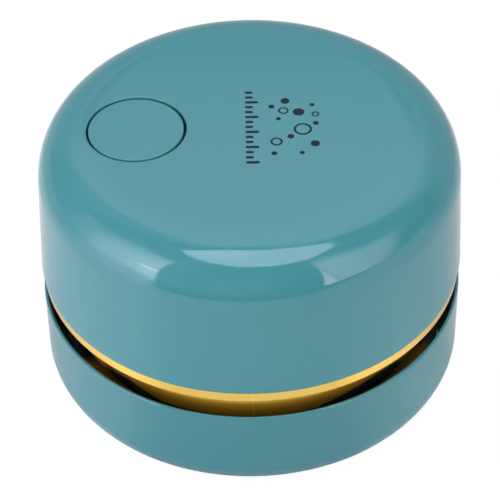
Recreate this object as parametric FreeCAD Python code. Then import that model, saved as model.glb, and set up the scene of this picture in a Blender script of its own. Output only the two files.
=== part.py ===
import FreeCAD, Part
import math
import os

# Desktop mini vacuum cleaner. Millimetres, +Z up, origin on the table under the middle of the body.
# The power button lies towards -X. A dust cup stands on the table, a filter and a seal sit in it,
# and the motor unit with its lift-off cap stands on those, leaving an open exhaust gap all round.

V = FreeCAD.Vector
Z = V(0, 0, 1)

# ---------------------------------------------------------------- driving dimensions
HEIGHT = 60.4            # table to the middle of the crown
SHELL_R = 42.5           # cap radius at its lower edge
SHELL_WALL_R = 41.88     # cap radius where the wall turns into the shoulder
SHELL_BOTTOM = 28.9      # lower edge of the cap
SHOULDER_A = 11.4        # radial size of the shoulder
SHOULDER_B = 10.3        # height of the shoulder
SHOULDER_N = 2.12        # exponent of the shoulder curve, 2 is an ellipse
CROWN_SAG = 0.45         # fall of the crown over the cap's radius
SHELL_T = 2.0            # cap wall

BUTTON_X = -22.0
BUTTON_R = 9.4
BUTTON_HOLE_R = 9.8
BUTTON_TRAVEL = 1.5
BUTTON_T = 1.8
GUIDE_R = 11.3
GUIDE_BOTTOM = 54.5
FLANGE_R = 11.5

RING_R = 42.2            # gold band
RING_TOP = 28.8
RING_BAND_BOTTOM = 26.56
RING_INNER_R = 37.0
RECESS_R = 37.6          # recessed gold wall behind the exhaust gap
RECESS_BOTTOM = 17.6

CUP_LIP_R = 42.43
CUP_LIP_Z = 22.05
CUP_LIP_INNER_R = 41.2   # foot of the chamfer inside the lip
CUP_LIP_CHAMFER_Z = 20.2
CUP_BASE_R = 42.16
CUP_FILLET = 5.6
CUP_SKIRT_Z = 2.0
CUP_SKIRT_INNER_R = 36.0
CUP_FLOOR_TOP = 7.0
CUP_FLOOR_BOTTOM = 5.2
CUP_INNER_R = 40.95
CUP_INNER_FILLET = 0.6
CUP_REBATE_Z = 6.4       # level at which the cup's wall stands in its base
SEAL_WALL_RI, SEAL_WALL_RO, SEAL_WALL_TOP = 29.0, 30.6, 16.1
SEAT_FOOT_R = 31.6
INLET_R = 9.0
CHIMNEY_R = 10.4
CHIMNEY_TOP = 10.6

LUGS = 3
LUG_HALF = 9.0           # degrees
LOCK_TURN = 22.0         # degrees from unlocked to locked
CUP_LUG_AT = 30.0
CUP_LUG_R, CUP_LUG_Z = 39.1, (13.6, 15.2)
FRAME_LUG_R, FRAME_LUG_Z = 40.5, (11.5, 13.2)

PLATE_R = 31.6           # suction plate under the cup's floor
PLATE_Z = (3.2, 5.1)
BASE_SCREW_PCD_R = 20.0
FOOT_AT_R = 28.0
BRUSH_RI, BRUSH_RO, BRUSH_Z = 32.0, 35.7, (3.4, 5.1)
BRUSH_AT_R = 33.9
TUFTS = 54
TUFT_TIP_Z = 0.3

FILTER_FLANGE_R = 31.4
FILTER_FLANGE_Z = (16.2, 17.3)
FILTER_IN_RI, FILTER_IN_RO, FILTER_BOTTOM = 27.0, 28.7, 14.4
SEAL_RI, SEAL_RO, SEAL_Z = 28.6, 31.0, (17.4, 18.55)

SKIRT_RI, SKIRT_RO, SKIRT_BOTTOM = 36.15, 36.9, 11.5
BAYONET_RI, BAYONET_RO = 35.2, 38.6
WINDOWS, POST_HALF, WINDOW_Z = 5, 4.0, (13.35, 17.6)   # angles in degrees
DECK_Z = (28.9, 30.4)
DECK_R = 40.1
COVER_Z = (18.7, 20.2)
COVER_R = 31.0
COVER_EYE_R = 10.0
BOSS_AT_R = 33.8
BOSS_R = 2.2
HOLDER_Z = (30.4, 31.5)  # base plate of the holder
HOLDER_R = 36.8
HOLDER_SCREWS = [(22.0, 14.2), (-22.0, 14.2), (22.0, -14.2), (-22.0, -14.2)]

CELL_R, CELL_BODY, CELL_NUB = 7.25, 49.3, 1.2
CELL_Y, CELL_Z = 21.3, 39.0
PLATE_X = 26.7           # inner face of the battery contacts

MOTOR_R, MOTOR_Z = 12.1, (30.5, 48.0)
SHAFT_R = 1.0
BUSH_CLEARANCE = 0.03
IMPELLER_R = 23.0
BLADES = 9

os.makedirs("parts", exist_ok=True)


# ---------------------------------------------------------------- helpers
def save(name, shape):
    if shape.ShapeType == "Compound" and len(shape.Solids) == 1:
        shape = shape.Solids[0]
    if not shape.isValid():
        print("INVALID", name)
    shape.exportStep("parts/%s.step" % name)
    b = shape.BoundBox
    print("%-24s solids %2d vol %9.1f  x %6.1f %6.1f y %6.1f %6.1f z %6.2f %6.2f" % (
        name, len(shape.Solids), shape.Volume, b.XMin, b.XMax, b.YMin, b.YMax, b.ZMin, b.ZMax))


def cyl(r, z0, z1, x=0.0, y=0.0):
    return Part.makeCylinder(r, z1 - z0, V(x, y, z0), Z)


def ring(ri, ro, z0, z1, x=0.0, y=0.0):
    return cyl(ro, z0, z1, x, y).cut(cyl(ri, z0 - 1, z1 + 1, x, y))


def box(x0, x1, y0, y1, z0, z1):
    return Part.makeBox(x1 - x0, y1 - y0, z1 - z0, V(x0, y0, z0))


def cone(r0, r1, z0, z1, x=0.0, y=0.0):
    return Part.makeCone(r0, r1, z1 - z0, V(x, y, z0), Z)


def sector(ri, ro, z0, z1, mid, half):
    """Part of a ring between two angles, in degrees."""
    def p(r, a):
        return V(r * math.cos(math.radians(a)), r * math.sin(math.radians(a)), z0)
    a0, a1 = mid - half, mid + half
    edges = [Part.LineSegment(p(ri, a0), p(ro, a0)).toShape(),
             Part.Arc(p(ro, a0), p(ro, mid), p(ro, a1)).toShape(),
             Part.LineSegment(p(ro, a1), p(ri, a1)).toShape(),
             Part.Arc(p(ri, a1), p(ri, mid), p(ri, a0)).toShape()]
    return Part.Face(Part.Wire(edges)).extrude(V(0, 0, z1 - z0))


def turned(items):
    """Solid of revolution about Z. items are (r, z) corners, or ("arc", middle, end) for an arc."""
    edges, first, last = [], None, None
    for it in items:
        if it[0] == "arc":
            m, e = it[1], it[2]
            edges.append(Part.Arc(V(last[0], 0, last[1]), V(m[0], 0, m[1]), V(e[0], 0, e[1])).toShape())
            last = e
        elif it[0] == "spline":
            c = Part.BSplineCurve()
            c.interpolate(Points=[V(a, 0, b) for a, b in it[1]], InitialTangent=V(it[2][0], 0, it[2][1]),
                          FinalTangent=V(it[3][0], 0, it[3][1]))
            edges.append(c.toShape())
            last = it[1][-1]
        else:
            if last is None:
                first = it
            else:
                edges.append(Part.LineSegment(V(last[0], 0, last[1]), V(it[0], 0, it[1])).toShape())
            last = it
    if abs(last[0] - first[0]) + abs(last[1] - first[1]) > 1e-6:
        edges.append(Part.LineSegment(V(last[0], 0, last[1]), V(first[0], 0, first[1])).toShape())
    return Part.Face(Part.Wire(edges)).revolve(V(0, 0, 0), Z, 360)


def quarter(cx, cz, r, a0, a1):
    """Arc entry round (cx, cz) from angle a0 to a1 in degrees, for turned()."""
    def p(a):
        return (cx + r * math.cos(math.radians(a)), cz + r * math.sin(math.radians(a)))
    return ("arc", p((a0 + a1) / 2), p(a1))


def spun(shape, n, phase=0.0):
    out = []
    for i in range(n):
        s = shape.copy()
        s.rotate(V(0, 0, 0), Z, phase + 360.0 * i / n)
        out.append(s)
    return out


def polar(r, a):
    return r * math.cos(math.radians(a)), r * math.sin(math.radians(a))


def tube(points, r):
    """Round lead along straight runs joined by tangent arcs."""
    p = [V(*q) for q in points]
    edges, at = [], p[0]
    for i in range(1, len(p) - 1):
        a, b = p[i - 1].sub(p[i]), p[i + 1].sub(p[i])
        la, lb = a.Length, b.Length
        a.normalize()
        b.normalize()
        cut = 0.45 * min(la, lb)
        s, e = p[i].add(a * cut), p[i].add(b * cut)
        half = a.getAngle(b) / 2
        rad = cut * math.tan(half)
        bis = a.add(b)
        bis.normalize()
        m = p[i].add(bis * (rad / math.sin(half) - rad))
        edges.append(Part.LineSegment(at, s).toShape())
        edges.append(Part.Arc(s, m, e).toShape())
        at = e
    edges.append(Part.LineSegment(at, p[-1]).toShape())
    path = Part.Wire(edges)
    d = p[1].sub(p[0])
    prof = Part.Wire([Part.makeCircle(r, p[0], d)])
    return path.makePipeShell([prof], True, True)


def countersunk(x, y, z_head, z_tip, r_head, r_shank, up=True):
    """Screw whose head is at z_head and whose tip is at z_tip, with a cross recess."""
    s = 1 if up else -1
    d = V(0, 0, s)
    head = Part.makeCone(r_head, r_shank, r_head - r_shank, V(x, y, z_head), d)
    shank = Part.makeCylinder(r_shank, abs(z_tip - z_head), V(x, y, z_head), d)
    body = head.fuse(shank)
    w, depth = 0.45, 0.5
    z0, z1 = sorted((z_head - s * 0.2, z_head + s * depth))
    slot = box(x - r_head * 0.55, x + r_head * 0.55, y - w / 2, y + w / 2, z0, z1).fuse(
        box(x - w / 2, x + w / 2, y - r_head * 0.55, y + r_head * 0.55, z0, z1))
    return body.cut(slot).removeSplitter()


def panhead(x, y, z_head, z_tip, r_head, t_head, r_shank, up=True):
    """Pan-head screw. z_head is the head's outer face."""
    s = 1 if up else -1
    d = V(0, 0, s)
    head = Part.makeCylinder(r_head, t_head, V(x, y, z_head), d)
    shank = Part.makeCylinder(r_shank, abs(z_tip - z_head), V(x, y, z_head), d)
    w, depth = 0.45, 0.55
    z0, z1 = sorted((z_head - s * 0.2, z_head + s * depth))
    slot = box(x - r_head * 0.6, x + r_head * 0.6, y - w / 2, y + w / 2, z0, z1).fuse(
        box(x - w / 2, x + w / 2, y - r_head * 0.6, y + r_head * 0.6, z0, z1))
    return head.fuse(shank).cut(slot).removeSplitter()


# ---------------------------------------------------------------- cap outline
DRAFT = (SHELL_R - SHELL_WALL_R) / (HEIGHT - SHOULDER_B - SHELL_BOTTOM)


def cap_point(t):
    """Outline of the shoulder: t = 0 at its inner edge, 1 where it meets the wall."""
    a = t * math.pi / 2
    r = SHELL_WALL_R - SHOULDER_A + SHOULDER_A * math.sin(a) ** (2 / SHOULDER_N)
    drop = SHOULDER_B * (1 - math.cos(a) ** (2 / SHOULDER_N))
    z = HEIGHT - CROWN_SAG * (r / SHELL_WALL_R) ** 2 - drop
    z1 = HEIGHT - SHOULDER_B
    return r + DRAFT * (z1 - z), z


def cap_outline(offset=0.0):
    """Points of the crown and shoulder from the axis outwards, moved inwards by offset."""
    base = [(r, HEIGHT - CROWN_SAG * (r / SHELL_WALL_R) ** 2) for r in (0.0, 7.0, 14.0, 20.0, 25.5)]
    base += [cap_point(t) for t in (0.06, 0.16, 0.27, 0.38, 0.49, 0.6, 0.71, 0.82, 0.92, 1.0)]
    if offset == 0.0:
        return base
    out = []
    for i, (r, z) in enumerate(base):
        if i == 0:
            out.append((0.0, z - offset))
            continue
        r0, z0 = base[i - 1]
        r1, z1 = base[i + 1] if i + 1 < len(base) else (r + DRAFT * 2, z - 2)
        tr, tz = r1 - r0, z1 - z0
        if i + 1 == len(base):
            tr, tz = DRAFT, -1.0
        n = math.hypot(tr, tz)
        out.append((r + tz / n * offset, z - tr / n * offset))
    return out


def cap_solid(offset, z_bottom):
    pts = cap_outline(offset)
    r_end, z_end = pts[-1]
    r_bottom = r_end + DRAFT * (z_end - z_bottom)
    return turned([(0.0, z_bottom), pts[0], ("spline", pts, (1, 0), (DRAFT, -1)), (r_bottom, z_bottom)])


cap_outer = cap_solid(0.0, SHELL_BOTTOM)
cap_inner = cap_solid(SHELL_T, SHELL_BOTTOM - 5.0)

# ---------------------------------------------------------------- cap and button
guide = cyl(GUIDE_R, GUIDE_BOTTOM, HEIGHT + 2, BUTTON_X).common(cap_outer)
ribs = []
for a in (0, 90, 180, 270):
    rib = box(37.4, 42.0, -0.7, 0.7, 30.5, 49.0)
    rib.rotate(V(0, 0, 0), Z, a)
    ribs.append(rib.common(cap_outer))
top_shell = cap_outer.cut(cap_inner).fuse([guide] + ribs)
top_shell = top_shell.cut(cyl(BUTTON_HOLE_R, 50, HEIGHT + 5, BUTTON_X)).removeSplitter()
save("top_shell", top_shell)

stem_bottom = 54.0
cap_disc = cyl(BUTTON_R, 54.0, HEIGHT + 5, BUTTON_X).common(cap_outer)
hollow = ring(2.2, BUTTON_R - 1.4, 50.0, HEIGHT - BUTTON_T - 0.3, BUTTON_X)
button = cap_disc.cut(hollow)
button = button.fuse(ring(BUTTON_R - 1.4, FLANGE_R, GUIDE_BOTTOM - 1.2, GUIDE_BOTTOM - 0.2, BUTTON_X)).removeSplitter()
save("power_button", button)

# ---------------------------------------------------------------- gold trim ring and the wall that hangs under it
gold = turned([
    (RING_INNER_R, RING_BAND_BOTTOM), (RING_R - 0.12, RING_BAND_BOTTOM), (RING_R - 0.02, RING_BAND_BOTTOM + 0.1),
    (RING_R, RING_TOP - 0.12), (RING_R - 0.12, RING_TOP), (RING_INNER_R, RING_TOP)])
save("gold_trim_ring", gold)
save("recess_wall", turned([
    (RING_INNER_R, RECESS_BOTTOM), (RECESS_R - 0.15, RECESS_BOTTOM), (RECESS_R, RECESS_BOTTOM + 0.15),
    (RECESS_R, RING_BAND_BOTTOM), (RING_INNER_R, RING_BAND_BOTTOM)]))

# ---------------------------------------------------------------- dust cup
# The wall with its lip and bayonet lugs stands in a rebate round the base, which carries the floor and the rounded edge.
lip_in, lip_out = 0.30, 0.38
lip_mid = CUP_LIP_R - lip_out
fillet_cx, fillet_cz = CUP_BASE_R - CUP_FILLET, CUP_SKIRT_Z + CUP_FILLET
rebate_a = math.degrees(math.asin((CUP_REBATE_Z - fillet_cz) / CUP_FILLET))
rebate_r = fillet_cx + CUP_FILLET * math.cos(math.radians(rebate_a))
foot_r = CUP_INNER_R - CUP_INNER_FILLET
cup = turned([
    (foot_r, CUP_REBATE_Z), (rebate_r, CUP_REBATE_Z), quarter(fillet_cx, fillet_cz, CUP_FILLET, rebate_a, 0),
    (CUP_LIP_R, CUP_LIP_Z - lip_out), quarter(lip_mid, CUP_LIP_Z - lip_out, lip_out, 0, 90),
    quarter(lip_mid, CUP_LIP_Z - lip_in, lip_in, 90, 180), (CUP_LIP_INNER_R, CUP_LIP_CHAMFER_Z), (CUP_INNER_R, CUP_FLOOR_TOP + CUP_INNER_FILLET), quarter(foot_r, CUP_FLOOR_TOP + CUP_INNER_FILLET, CUP_INNER_FILLET, 0, -90)])
lugs = [sector(CUP_LUG_R, 41.4, CUP_LUG_Z[0], CUP_LUG_Z[1], CUP_LUG_AT + 120 * i, LUG_HALF) for i in range(LUGS)]
save("dust_cup", cup.fuse(lugs).removeSplitter())

base = turned([
    (CUP_SKIRT_INNER_R, CUP_SKIRT_Z + 0.2), (CUP_SKIRT_INNER_R + 0.2, CUP_SKIRT_Z), (fillet_cx, CUP_SKIRT_Z),
    quarter(fillet_cx, fillet_cz, CUP_FILLET, -90, rebate_a), (foot_r, CUP_REBATE_Z), (foot_r, CUP_FLOOR_TOP),
    (INLET_R, CUP_FLOOR_TOP), (INLET_R, CUP_FLOOR_BOTTOM), (CUP_SKIRT_INNER_R, CUP_FLOOR_BOTTOM)])
bosses = []
for i in range(3):
    x, y = polar(BASE_SCREW_PCD_R, 120 * i)
    base = base.cut(cyl(1.0, 4.0, 9.8, x, y))
    bosses.append(cyl(2.7, CUP_FLOOR_TOP, 10.8, x, y).cut(cyl(1.0, 4.0, 9.8, x, y)))
save("cup_base", base.removeSplitter())
# bosses on the floor for the screws from below
save("screw_bosses", Part.makeCompound(bosses))
# collar round the inlet that keeps the dust from falling back out
save("inlet_collar", turned([
    (INLET_R, CUP_FLOOR_TOP), (CHIMNEY_R + 0.5, CUP_FLOOR_TOP), (CHIMNEY_R, CUP_FLOOR_TOP + 0.8), (CHIMNEY_R, CHIMNEY_TOP - 0.25),
    (CHIMNEY_R - 0.25, CHIMNEY_TOP), (INLET_R + 0.25, CHIMNEY_TOP), (INLET_R, CHIMNEY_TOP - 0.25)]))
# collar on the floor that walls in the dust and carries the filter
save("filter_seat", turned([
    (SEAL_WALL_RI, CUP_FLOOR_TOP), (SEAT_FOOT_R, CUP_FLOOR_TOP), (SEAT_FOOT_R, CUP_FLOOR_TOP + 0.8), (SEAL_WALL_RO, CUP_FLOOR_TOP + 1.0),
    (SEAL_WALL_RO, SEAL_WALL_TOP - 0.2), (SEAL_WALL_RO - 0.2, SEAL_WALL_TOP), (SEAL_WALL_RI + 0.2, SEAL_WALL_TOP), (SEAL_WALL_RI, SEAL_WALL_TOP - 0.2)]))

# ---------------------------------------------------------------- underside: suction plate, brush, feet
plate = turned([
    (INLET_R, PLATE_Z[1]), (INLET_R + 0.1, PLATE_Z[1] - 0.4), (INLET_R + 2.6, PLATE_Z[0]),
    (PLATE_R - 0.5, PLATE_Z[0]), (PLATE_R, PLATE_Z[0] + 0.5), (PLATE_R, PLATE_Z[1])])
cuts = []
for i in range(3):
    x, y = polar(BASE_SCREW_PCD_R, 120 * i)
    cuts.append(cone(2.3, 1.1, PLATE_Z[0] - 0.001, PLATE_Z[0] + 1.2, x, y))
    cuts.append(cyl(1.1, 3.0, 6.0, x, y))
    x, y = polar(FOOT_AT_R, 60 + 120 * i)
    cuts.append(cyl(1.23, 3.0, 6.0, x, y))
# four shallow air channels that lead dust from the brush to the inlet
for i in range(4):
    ch = box(INLET_R + 1.5, PLATE_R - 2.2, -2.0, 2.0, PLATE_Z[0] - 1, PLATE_Z[0] + 0.7)
    ch.rotate(V(0, 0, 0), Z, 30 + 90 * i)
    cuts.append(ch)
plate = plate.cut(cuts).removeSplitter()
save("suction_plate", plate)

screws = []
for i in range(3):
    x, y = polar(BASE_SCREW_PCD_R, 120 * i)
    screws.append(countersunk(x, y, PLATE_Z[0] + 0.05, 9.4, 2.1, 0.95))
save("base_screws", Part.makeCompound(screws))

feet = []
for i in range(3):
    x, y = polar(FOOT_AT_R, 60 + 120 * i)
    f = cyl(3.0, 0.8, PLATE_Z[0], x, y).fuse([cone(2.2, 3.0, 0.0, 0.8, x, y), cyl(1.2, PLATE_Z[0] - 0.2, 4.9, x, y)])
    feet.append(f.removeSplitter())
save("glide_feet", Part.makeCompound(feet))

brush = ring(BRUSH_RI, BRUSH_RO, BRUSH_Z[0], BRUSH_Z[1])
holes = []
tufts = []
for i in range(TUFTS):
    x, y = polar(BRUSH_AT_R, 360.0 * i / TUFTS)
    holes.append(cyl(0.85, 2.0, 6.0, x, y))
    tufts.append(cyl(0.8, BRUSH_Z[0] - 0.2, 4.9, x, y).fuse(cone(1.2, 0.8, TUFT_TIP_Z, BRUSH_Z[0] - 0.1, x, y)).removeSplitter())
brush = brush.cut(holes)
save("brush_ring", brush)
save("brush_bristles", Part.makeCompound(tufts))

# ---------------------------------------------------------------- filter and seal
frame = ring(FILTER_IN_RI, FILTER_FLANGE_R, *FILTER_FLANGE_Z).fuse([
    ring(FILTER_IN_RI, FILTER_IN_RO, FILTER_BOTTOM, FILTER_FLANGE_Z[0] + 0.2), cyl(3.4, FILTER_BOTTOM, FILTER_BOTTOM + 1.0)])
spokes = spun(box(2.5, FILTER_IN_RI + 0.5, -0.7, 0.7, FILTER_BOTTOM, FILTER_BOTTOM + 1.0), 6, 15)
rims = [ring(13.6, 14.8, FILTER_BOTTOM, FILTER_BOTTOM + 1.0)]
frame = frame.fuse(spokes + rims).removeSplitter()
save("filter_frame", frame)
save("filter_mesh", cyl(FILTER_IN_RI - 0.1, FILTER_BOTTOM + 1.05, FILTER_BOTTOM + 1.35))
save("filter_foam", cyl(FILTER_IN_RI - 0.3, FILTER_BOTTOM + 1.45, FILTER_BOTTOM + 3.4))
seal = turned([
    (SEAL_RI, SEAL_Z[0]), (SEAL_RO, SEAL_Z[0]), (SEAL_RO, SEAL_Z[1] - 0.3), (SEAL_RO - 0.3, SEAL_Z[1]),
    (SEAL_RI + 0.3, SEAL_Z[1]), (SEAL_RI, SEAL_Z[1] - 0.3)])
save("seal_ring", seal)

# ---------------------------------------------------------------- inner frame of the motor unit
# A deck, a skirt hung under it, five posts under that with windows between them, and the bayonet ring at the bottom.
deck = cyl(DECK_R, *DECK_Z)
cuts = [cyl(3.5, 20, 32)]
for x in (8.0, -8.0):
    cuts.append(cyl(1.1, 20, 32, x, 0))
for x, y in HOLDER_SCREWS:
    cuts.append(cyl(0.95, 25, 32, x, y))
save("inner_frame", deck.cut(cuts).removeSplitter())
save("frame_skirt", ring(SKIRT_RI, SKIRT_RO, WINDOW_Z[1], DECK_Z[0]))
posts = [sector(SKIRT_RI, SKIRT_RO, WINDOW_Z[0], WINDOW_Z[1], 270.0 + 360 / WINDOWS * i, POST_HALF) for i in range(WINDOWS)]
save("skirt_posts", Part.makeCompound(posts))
bayonet = ring(BAYONET_RI, BAYONET_RO, SKIRT_BOTTOM, WINDOW_Z[0])
lugs = [sector(BAYONET_RO - 0.5, FRAME_LUG_R, FRAME_LUG_Z[0], FRAME_LUG_Z[1], CUP_LUG_AT + LOCK_TURN + 120 * i, LUG_HALF) for i in range(LUGS)]
save("bayonet_ring", bayonet.fuse(lugs).removeSplitter())
posts = []
for i in range(4):
    x, y = polar(BOSS_AT_R, 45 + 90 * i)
    posts.append(cyl(BOSS_R, COVER_Z[1] + 0.1, DECK_Z[0], x, y).cut(cyl(0.9, COVER_Z[1] - 1, 27.5, x, y)))
save("cover_posts", Part.makeCompound(posts))

# ---------------------------------------------------------------- holder for the cells, the motor and the switch board
parts = [ring(MOTOR_R + 0.25, 13.6, HOLDER_Z[0], 45.0)]
for side in (1, -1):
    y0, y1 = sorted((side * 13.0, side * 30.0))
    bay = box(-28.7, 28.7, y0, y1, HOLDER_Z[0], 36.5).common(cyl(39.5, 20, 60))
    for x in (27.3, -28.7):
        yy0, yy1 = sorted((side * 14.6, side * 27.4))
        bay = bay.fuse(box(x, x + 1.4, yy0, yy1, 31, 44.5).common(cyl(39.5, 20, 60)))
    parts.append(bay)
POSTS = [(-31.0, 6.8), (-31.0, -6.8), (-17.6, 7.6), (-17.6, -7.6)]
for x, y in POSTS:
    parts.append(cyl(2.1, HOLDER_Z[0], 41.9, x, y))
holder = cyl(HOLDER_R, *HOLDER_Z).fuse(parts)
cuts = [cyl(MOTOR_R + 0.25, 20, 60)]
for side in (1, -1):
    cuts.append(Part.makeCylinder(CELL_R + 0.3, 2 * (PLATE_X + 0.55), V(-PLATE_X - 0.55, side * CELL_Y, CELL_Z), V(1, 0, 0)))
for x, y in POSTS[:2]:
    cuts.append(cyl(0.8, 37.0, 43.0, x, y))
for x, y in HOLDER_SCREWS:
    cuts.append(cyl(0.8, 29, 34.2, x, y))
holder = holder.cut(cuts).removeSplitter()
save("battery_holder", holder)
screws = [panhead(x, y, DECK_Z[0] - 1.0, 33.8, 1.7, 1.0, 0.75) for x, y in HOLDER_SCREWS]
save("holder_screws", Part.makeCompound(screws))

cover = cyl(COVER_R, *COVER_Z)
cover = cover.fuse([cyl(COVER_EYE_R + 1.6, COVER_Z[0], COVER_Z[1] + 0.5)])
for i in range(4):
    ear = box(COVER_R - 3, BOSS_AT_R, -BOSS_R, BOSS_R, *COVER_Z).fuse(cyl(BOSS_R, COVER_Z[0], COVER_Z[1], BOSS_AT_R, 0))
    ear.rotate(V(0, 0, 0), Z, 45 + 90 * i)
    cover = cover.fuse(ear)
cuts = [cone(COVER_EYE_R + 1.0, COVER_EYE_R, COVER_Z[0] - 0.001, COVER_Z[0] + 1.0), cyl(COVER_EYE_R, 10, 30)]
for i in range(4):
    x, y = polar(BOSS_AT_R, 45 + 90 * i)
    cuts.append(cyl(1.15, 10, 30, x, y))
cover = cover.cut(cuts).removeSplitter()
save("fan_cover", cover)
screws = []
for i in range(4):
    x, y = polar(BOSS_AT_R, 45 + 90 * i)
    screws.append(panhead(x, y, COVER_Z[0] - 1.3, 26.5, 2.0, 1.25, 0.85))
save("fan_cover_screws", Part.makeCompound(screws))

# ---------------------------------------------------------------- motor
can = turned([
    (1.8 + 1.2, DECK_Z[0] + 0.1), (3.3, DECK_Z[0] + 0.1), (3.3, MOTOR_Z[0]), (MOTOR_R - 0.8, MOTOR_Z[0]),
    quarter(MOTOR_R - 0.8, MOTOR_Z[0] + 0.8, 0.8, -90, 0), (MOTOR_R, MOTOR_Z[1] - 1.0),
    (MOTOR_R - 1.0, MOTOR_Z[1] - 1.0), (MOTOR_R - 1.0, MOTOR_Z[0] + 1.0), (3.0, MOTOR_Z[0] + 1.0)])
for x in (8.0, -8.0):
    can = can.cut(cyl(0.8, 25, MOTOR_Z[0] + 2, x, 0))
save("motor_can", can)
bush_low = ring(SHAFT_R + BUSH_CLEARANCE, 2.95, DECK_Z[0] + 0.3, MOTOR_Z[0] + 1.6)
bush_top = ring(SHAFT_R + BUSH_CLEARANCE, 2.45, 45.6, 48.6)
save("motor_bushings", Part.makeCompound([bush_low, bush_top]))
end_cap = cyl(MOTOR_R - 0.05, MOTOR_Z[1] - 0.95, MOTOR_Z[1]).fuse([
    cyl(MOTOR_R - 1.1, MOTOR_Z[1] - 2.6, MOTOR_Z[1] - 0.9), cyl(4.0, 44.9, 48.8)])
end_cap = end_cap.cut([cyl(2.5, 40, 60), ring(4.8, MOTOR_R - 2.0, 40, MOTOR_Z[1] - 1.6)])
for s in (1, -1):
    end_cap = end_cap.cut(box(-6.4, -4.6, s * 5.5 - 0.35, s * 5.5 + 0.35, 40, 60))
save("motor_end_cap", end_cap.removeSplitter())
terminals = []
for s in (1, -1):
    terminals.append(box(-6.3, -4.7, s * 5.5 - 0.25, s * 5.5 + 0.25, MOTOR_Z[1] - 2.4, 50.0))
save("motor_terminals", Part.makeCompound(terminals))
magnets = [sector(9.4, MOTOR_R - 1.05, 33.6, 44.0, a, 62) for a in (0, 180)]
save("motor_magnets", Part.makeCompound(magnets))
brushes = [box(2.75, 4.6, -0.6, 0.6, 42.2, 44.4), box(-4.6, -2.75, -0.6, 0.6, 42.2, 44.4)]
save("carbon_brushes", Part.makeCompound(brushes))
screws = [panhead(x, 0.0, DECK_Z[0] - 1.1, MOTOR_Z[0] + 0.9, 1.8, 1.05, 0.75) for x in (8.0, -8.0)]
save("motor_screws", Part.makeCompound(screws))

# ---------------------------------------------------------------- rotor: shaft, armature, commutator, impeller
save("motor_shaft", cyl(SHAFT_R, 20.9, 48.4).fuse(cone(SHAFT_R - 0.2, SHAFT_R, 20.7, 20.9)).removeSplitter())
core = ring(SHAFT_R, 3.0, 34.6, 41.0)
arms = spun(box(2.5, 8.0, -1.3, 1.3, 34.6, 41.0), 3)
shoes = [sector(7.4, 8.9, 34.6, 41.0, 120 * i, 46) for i in range(3)]
save("armature_core", core.fuse(arms + shoes).removeSplitter())
coils = []
for i in range(3):
    c = box(3.5, 6.8, -2.4, 2.4, 33.4, 42.0).cut(box(3.0, 8.0, -1.35, 1.35, 34.55, 41.05))
    c.rotate(V(0, 0, 0), Z, 120 * i)
    coils.append(c)
save("armature_windings", Part.makeCompound(coils))
save("commutator", ring(SHAFT_R, 2.6, 42.1, 44.6))

impeller = ring(SHAFT_R, 3.4, 21.4, 27.2).fuse(ring(SHAFT_R, IMPELLER_R, 26.2, 27.2))
impeller = impeller.fuse(cone(3.4, 7.5, 23.6, 26.3).cut(cyl(SHAFT_R, 20, 30)))


def blade():
    """Backward-curved blade between the hub and the rim."""
    pts = []
    for k in range(7):
        s = k / 6.0
        r = 6.2 + (IMPELLER_R - 0.3 - 6.2) * s
        a = -42.0 * s ** 1.25
        pts.append(V(*polar(r, a), 21.6))
    left, right = [], []
    for k, p in enumerate(pts):
        q0, q1 = pts[max(k - 1, 0)], pts[min(k + 1, 6)]
        t = q1.sub(q0)
        t.normalize()
        n = V(-t.y, t.x, 0)
        left.append(p.add(n * 0.45))
        right.append(p.sub(n * 0.45))
    a, b = Part.BSplineCurve(), Part.BSplineCurve()
    a.interpolate(left)
    b.interpolate(right)
    e = [a.toShape(), Part.LineSegment(left[-1], right[-1]).toShape(), b.toShape(), Part.LineSegment(right[0], left[0]).toShape()]
    return Part.Face(Part.Wire(Part.__sortEdges__(e))).extrude(V(0, 0, 4.8))


impeller = impeller.fuse(spun(blade(), BLADES)).removeSplitter()
save("impeller", impeller)

# ---------------------------------------------------------------- batteries and contacts
for name, side, sign in (("battery_cell_left", 1, 1), ("battery_cell_right", -1, -1)):
    x_tip = sign * (PLATE_X - 0.05)
    d = V(-sign, 0, 0)
    o = V(x_tip, side * CELL_Y, CELL_Z)
    cell = Part.makeCylinder(2.7, CELL_NUB + 0.5, o, d)
    body_start = o.add(d * CELL_NUB)
    body = Part.makeCylinder(CELL_R, CELL_BODY, body_start, d)
    body = body.makeFillet(0.5, [e for e in body.Edges if len(e.Vertexes) == 1])
    save(name, cell.fuse(body).removeSplitter())

# nickelled link plate that joins the two cells at +X, and the two single contacts at -X
link = box(PLATE_X, PLATE_X + 0.4, -26.6, 26.6, 37.0, 43.8).fuse([
    box(PLATE_X, PLATE_X + 0.4, s * CELL_Y - 4.5, s * CELL_Y + 4.5, 34.5, 38.0) for s in (1, -1)]).removeSplitter()
save("battery_link_plate", link)
plates = []
for s in (1, -1):
    y0, y1 = sorted((s * 15.2, s * 26.6))
    p = box(-PLATE_X - 0.4, -PLATE_X, y0, y1, 35.0, 43.8)
    y0, y1 = sorted((s * 16.0, s * 19.0))
    p = p.fuse(box(-PLATE_X - 0.4, -PLATE_X, y0, y1, 43.5, 46.4)).removeSplitter()
    plates.append(p)
save("battery_contact_plates", Part.makeCompound(plates))
gap = 2 * PLATE_X - 0.05 - CELL_NUB - CELL_BODY
springs = []
for side, sign in ((1, -1), (-1, 1)):
    d = V(-sign, 0, 0)
    o = V(sign * (PLATE_X - 0.02), side * CELL_Y, CELL_Z)
    springs.append(Part.makeCone(4.2, 3.0, gap - 0.05, o, d).cut(Part.makeCone(3.4, 2.2, gap - 0.05, o, d)))
save("battery_springs", Part.makeCompound(springs))

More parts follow.
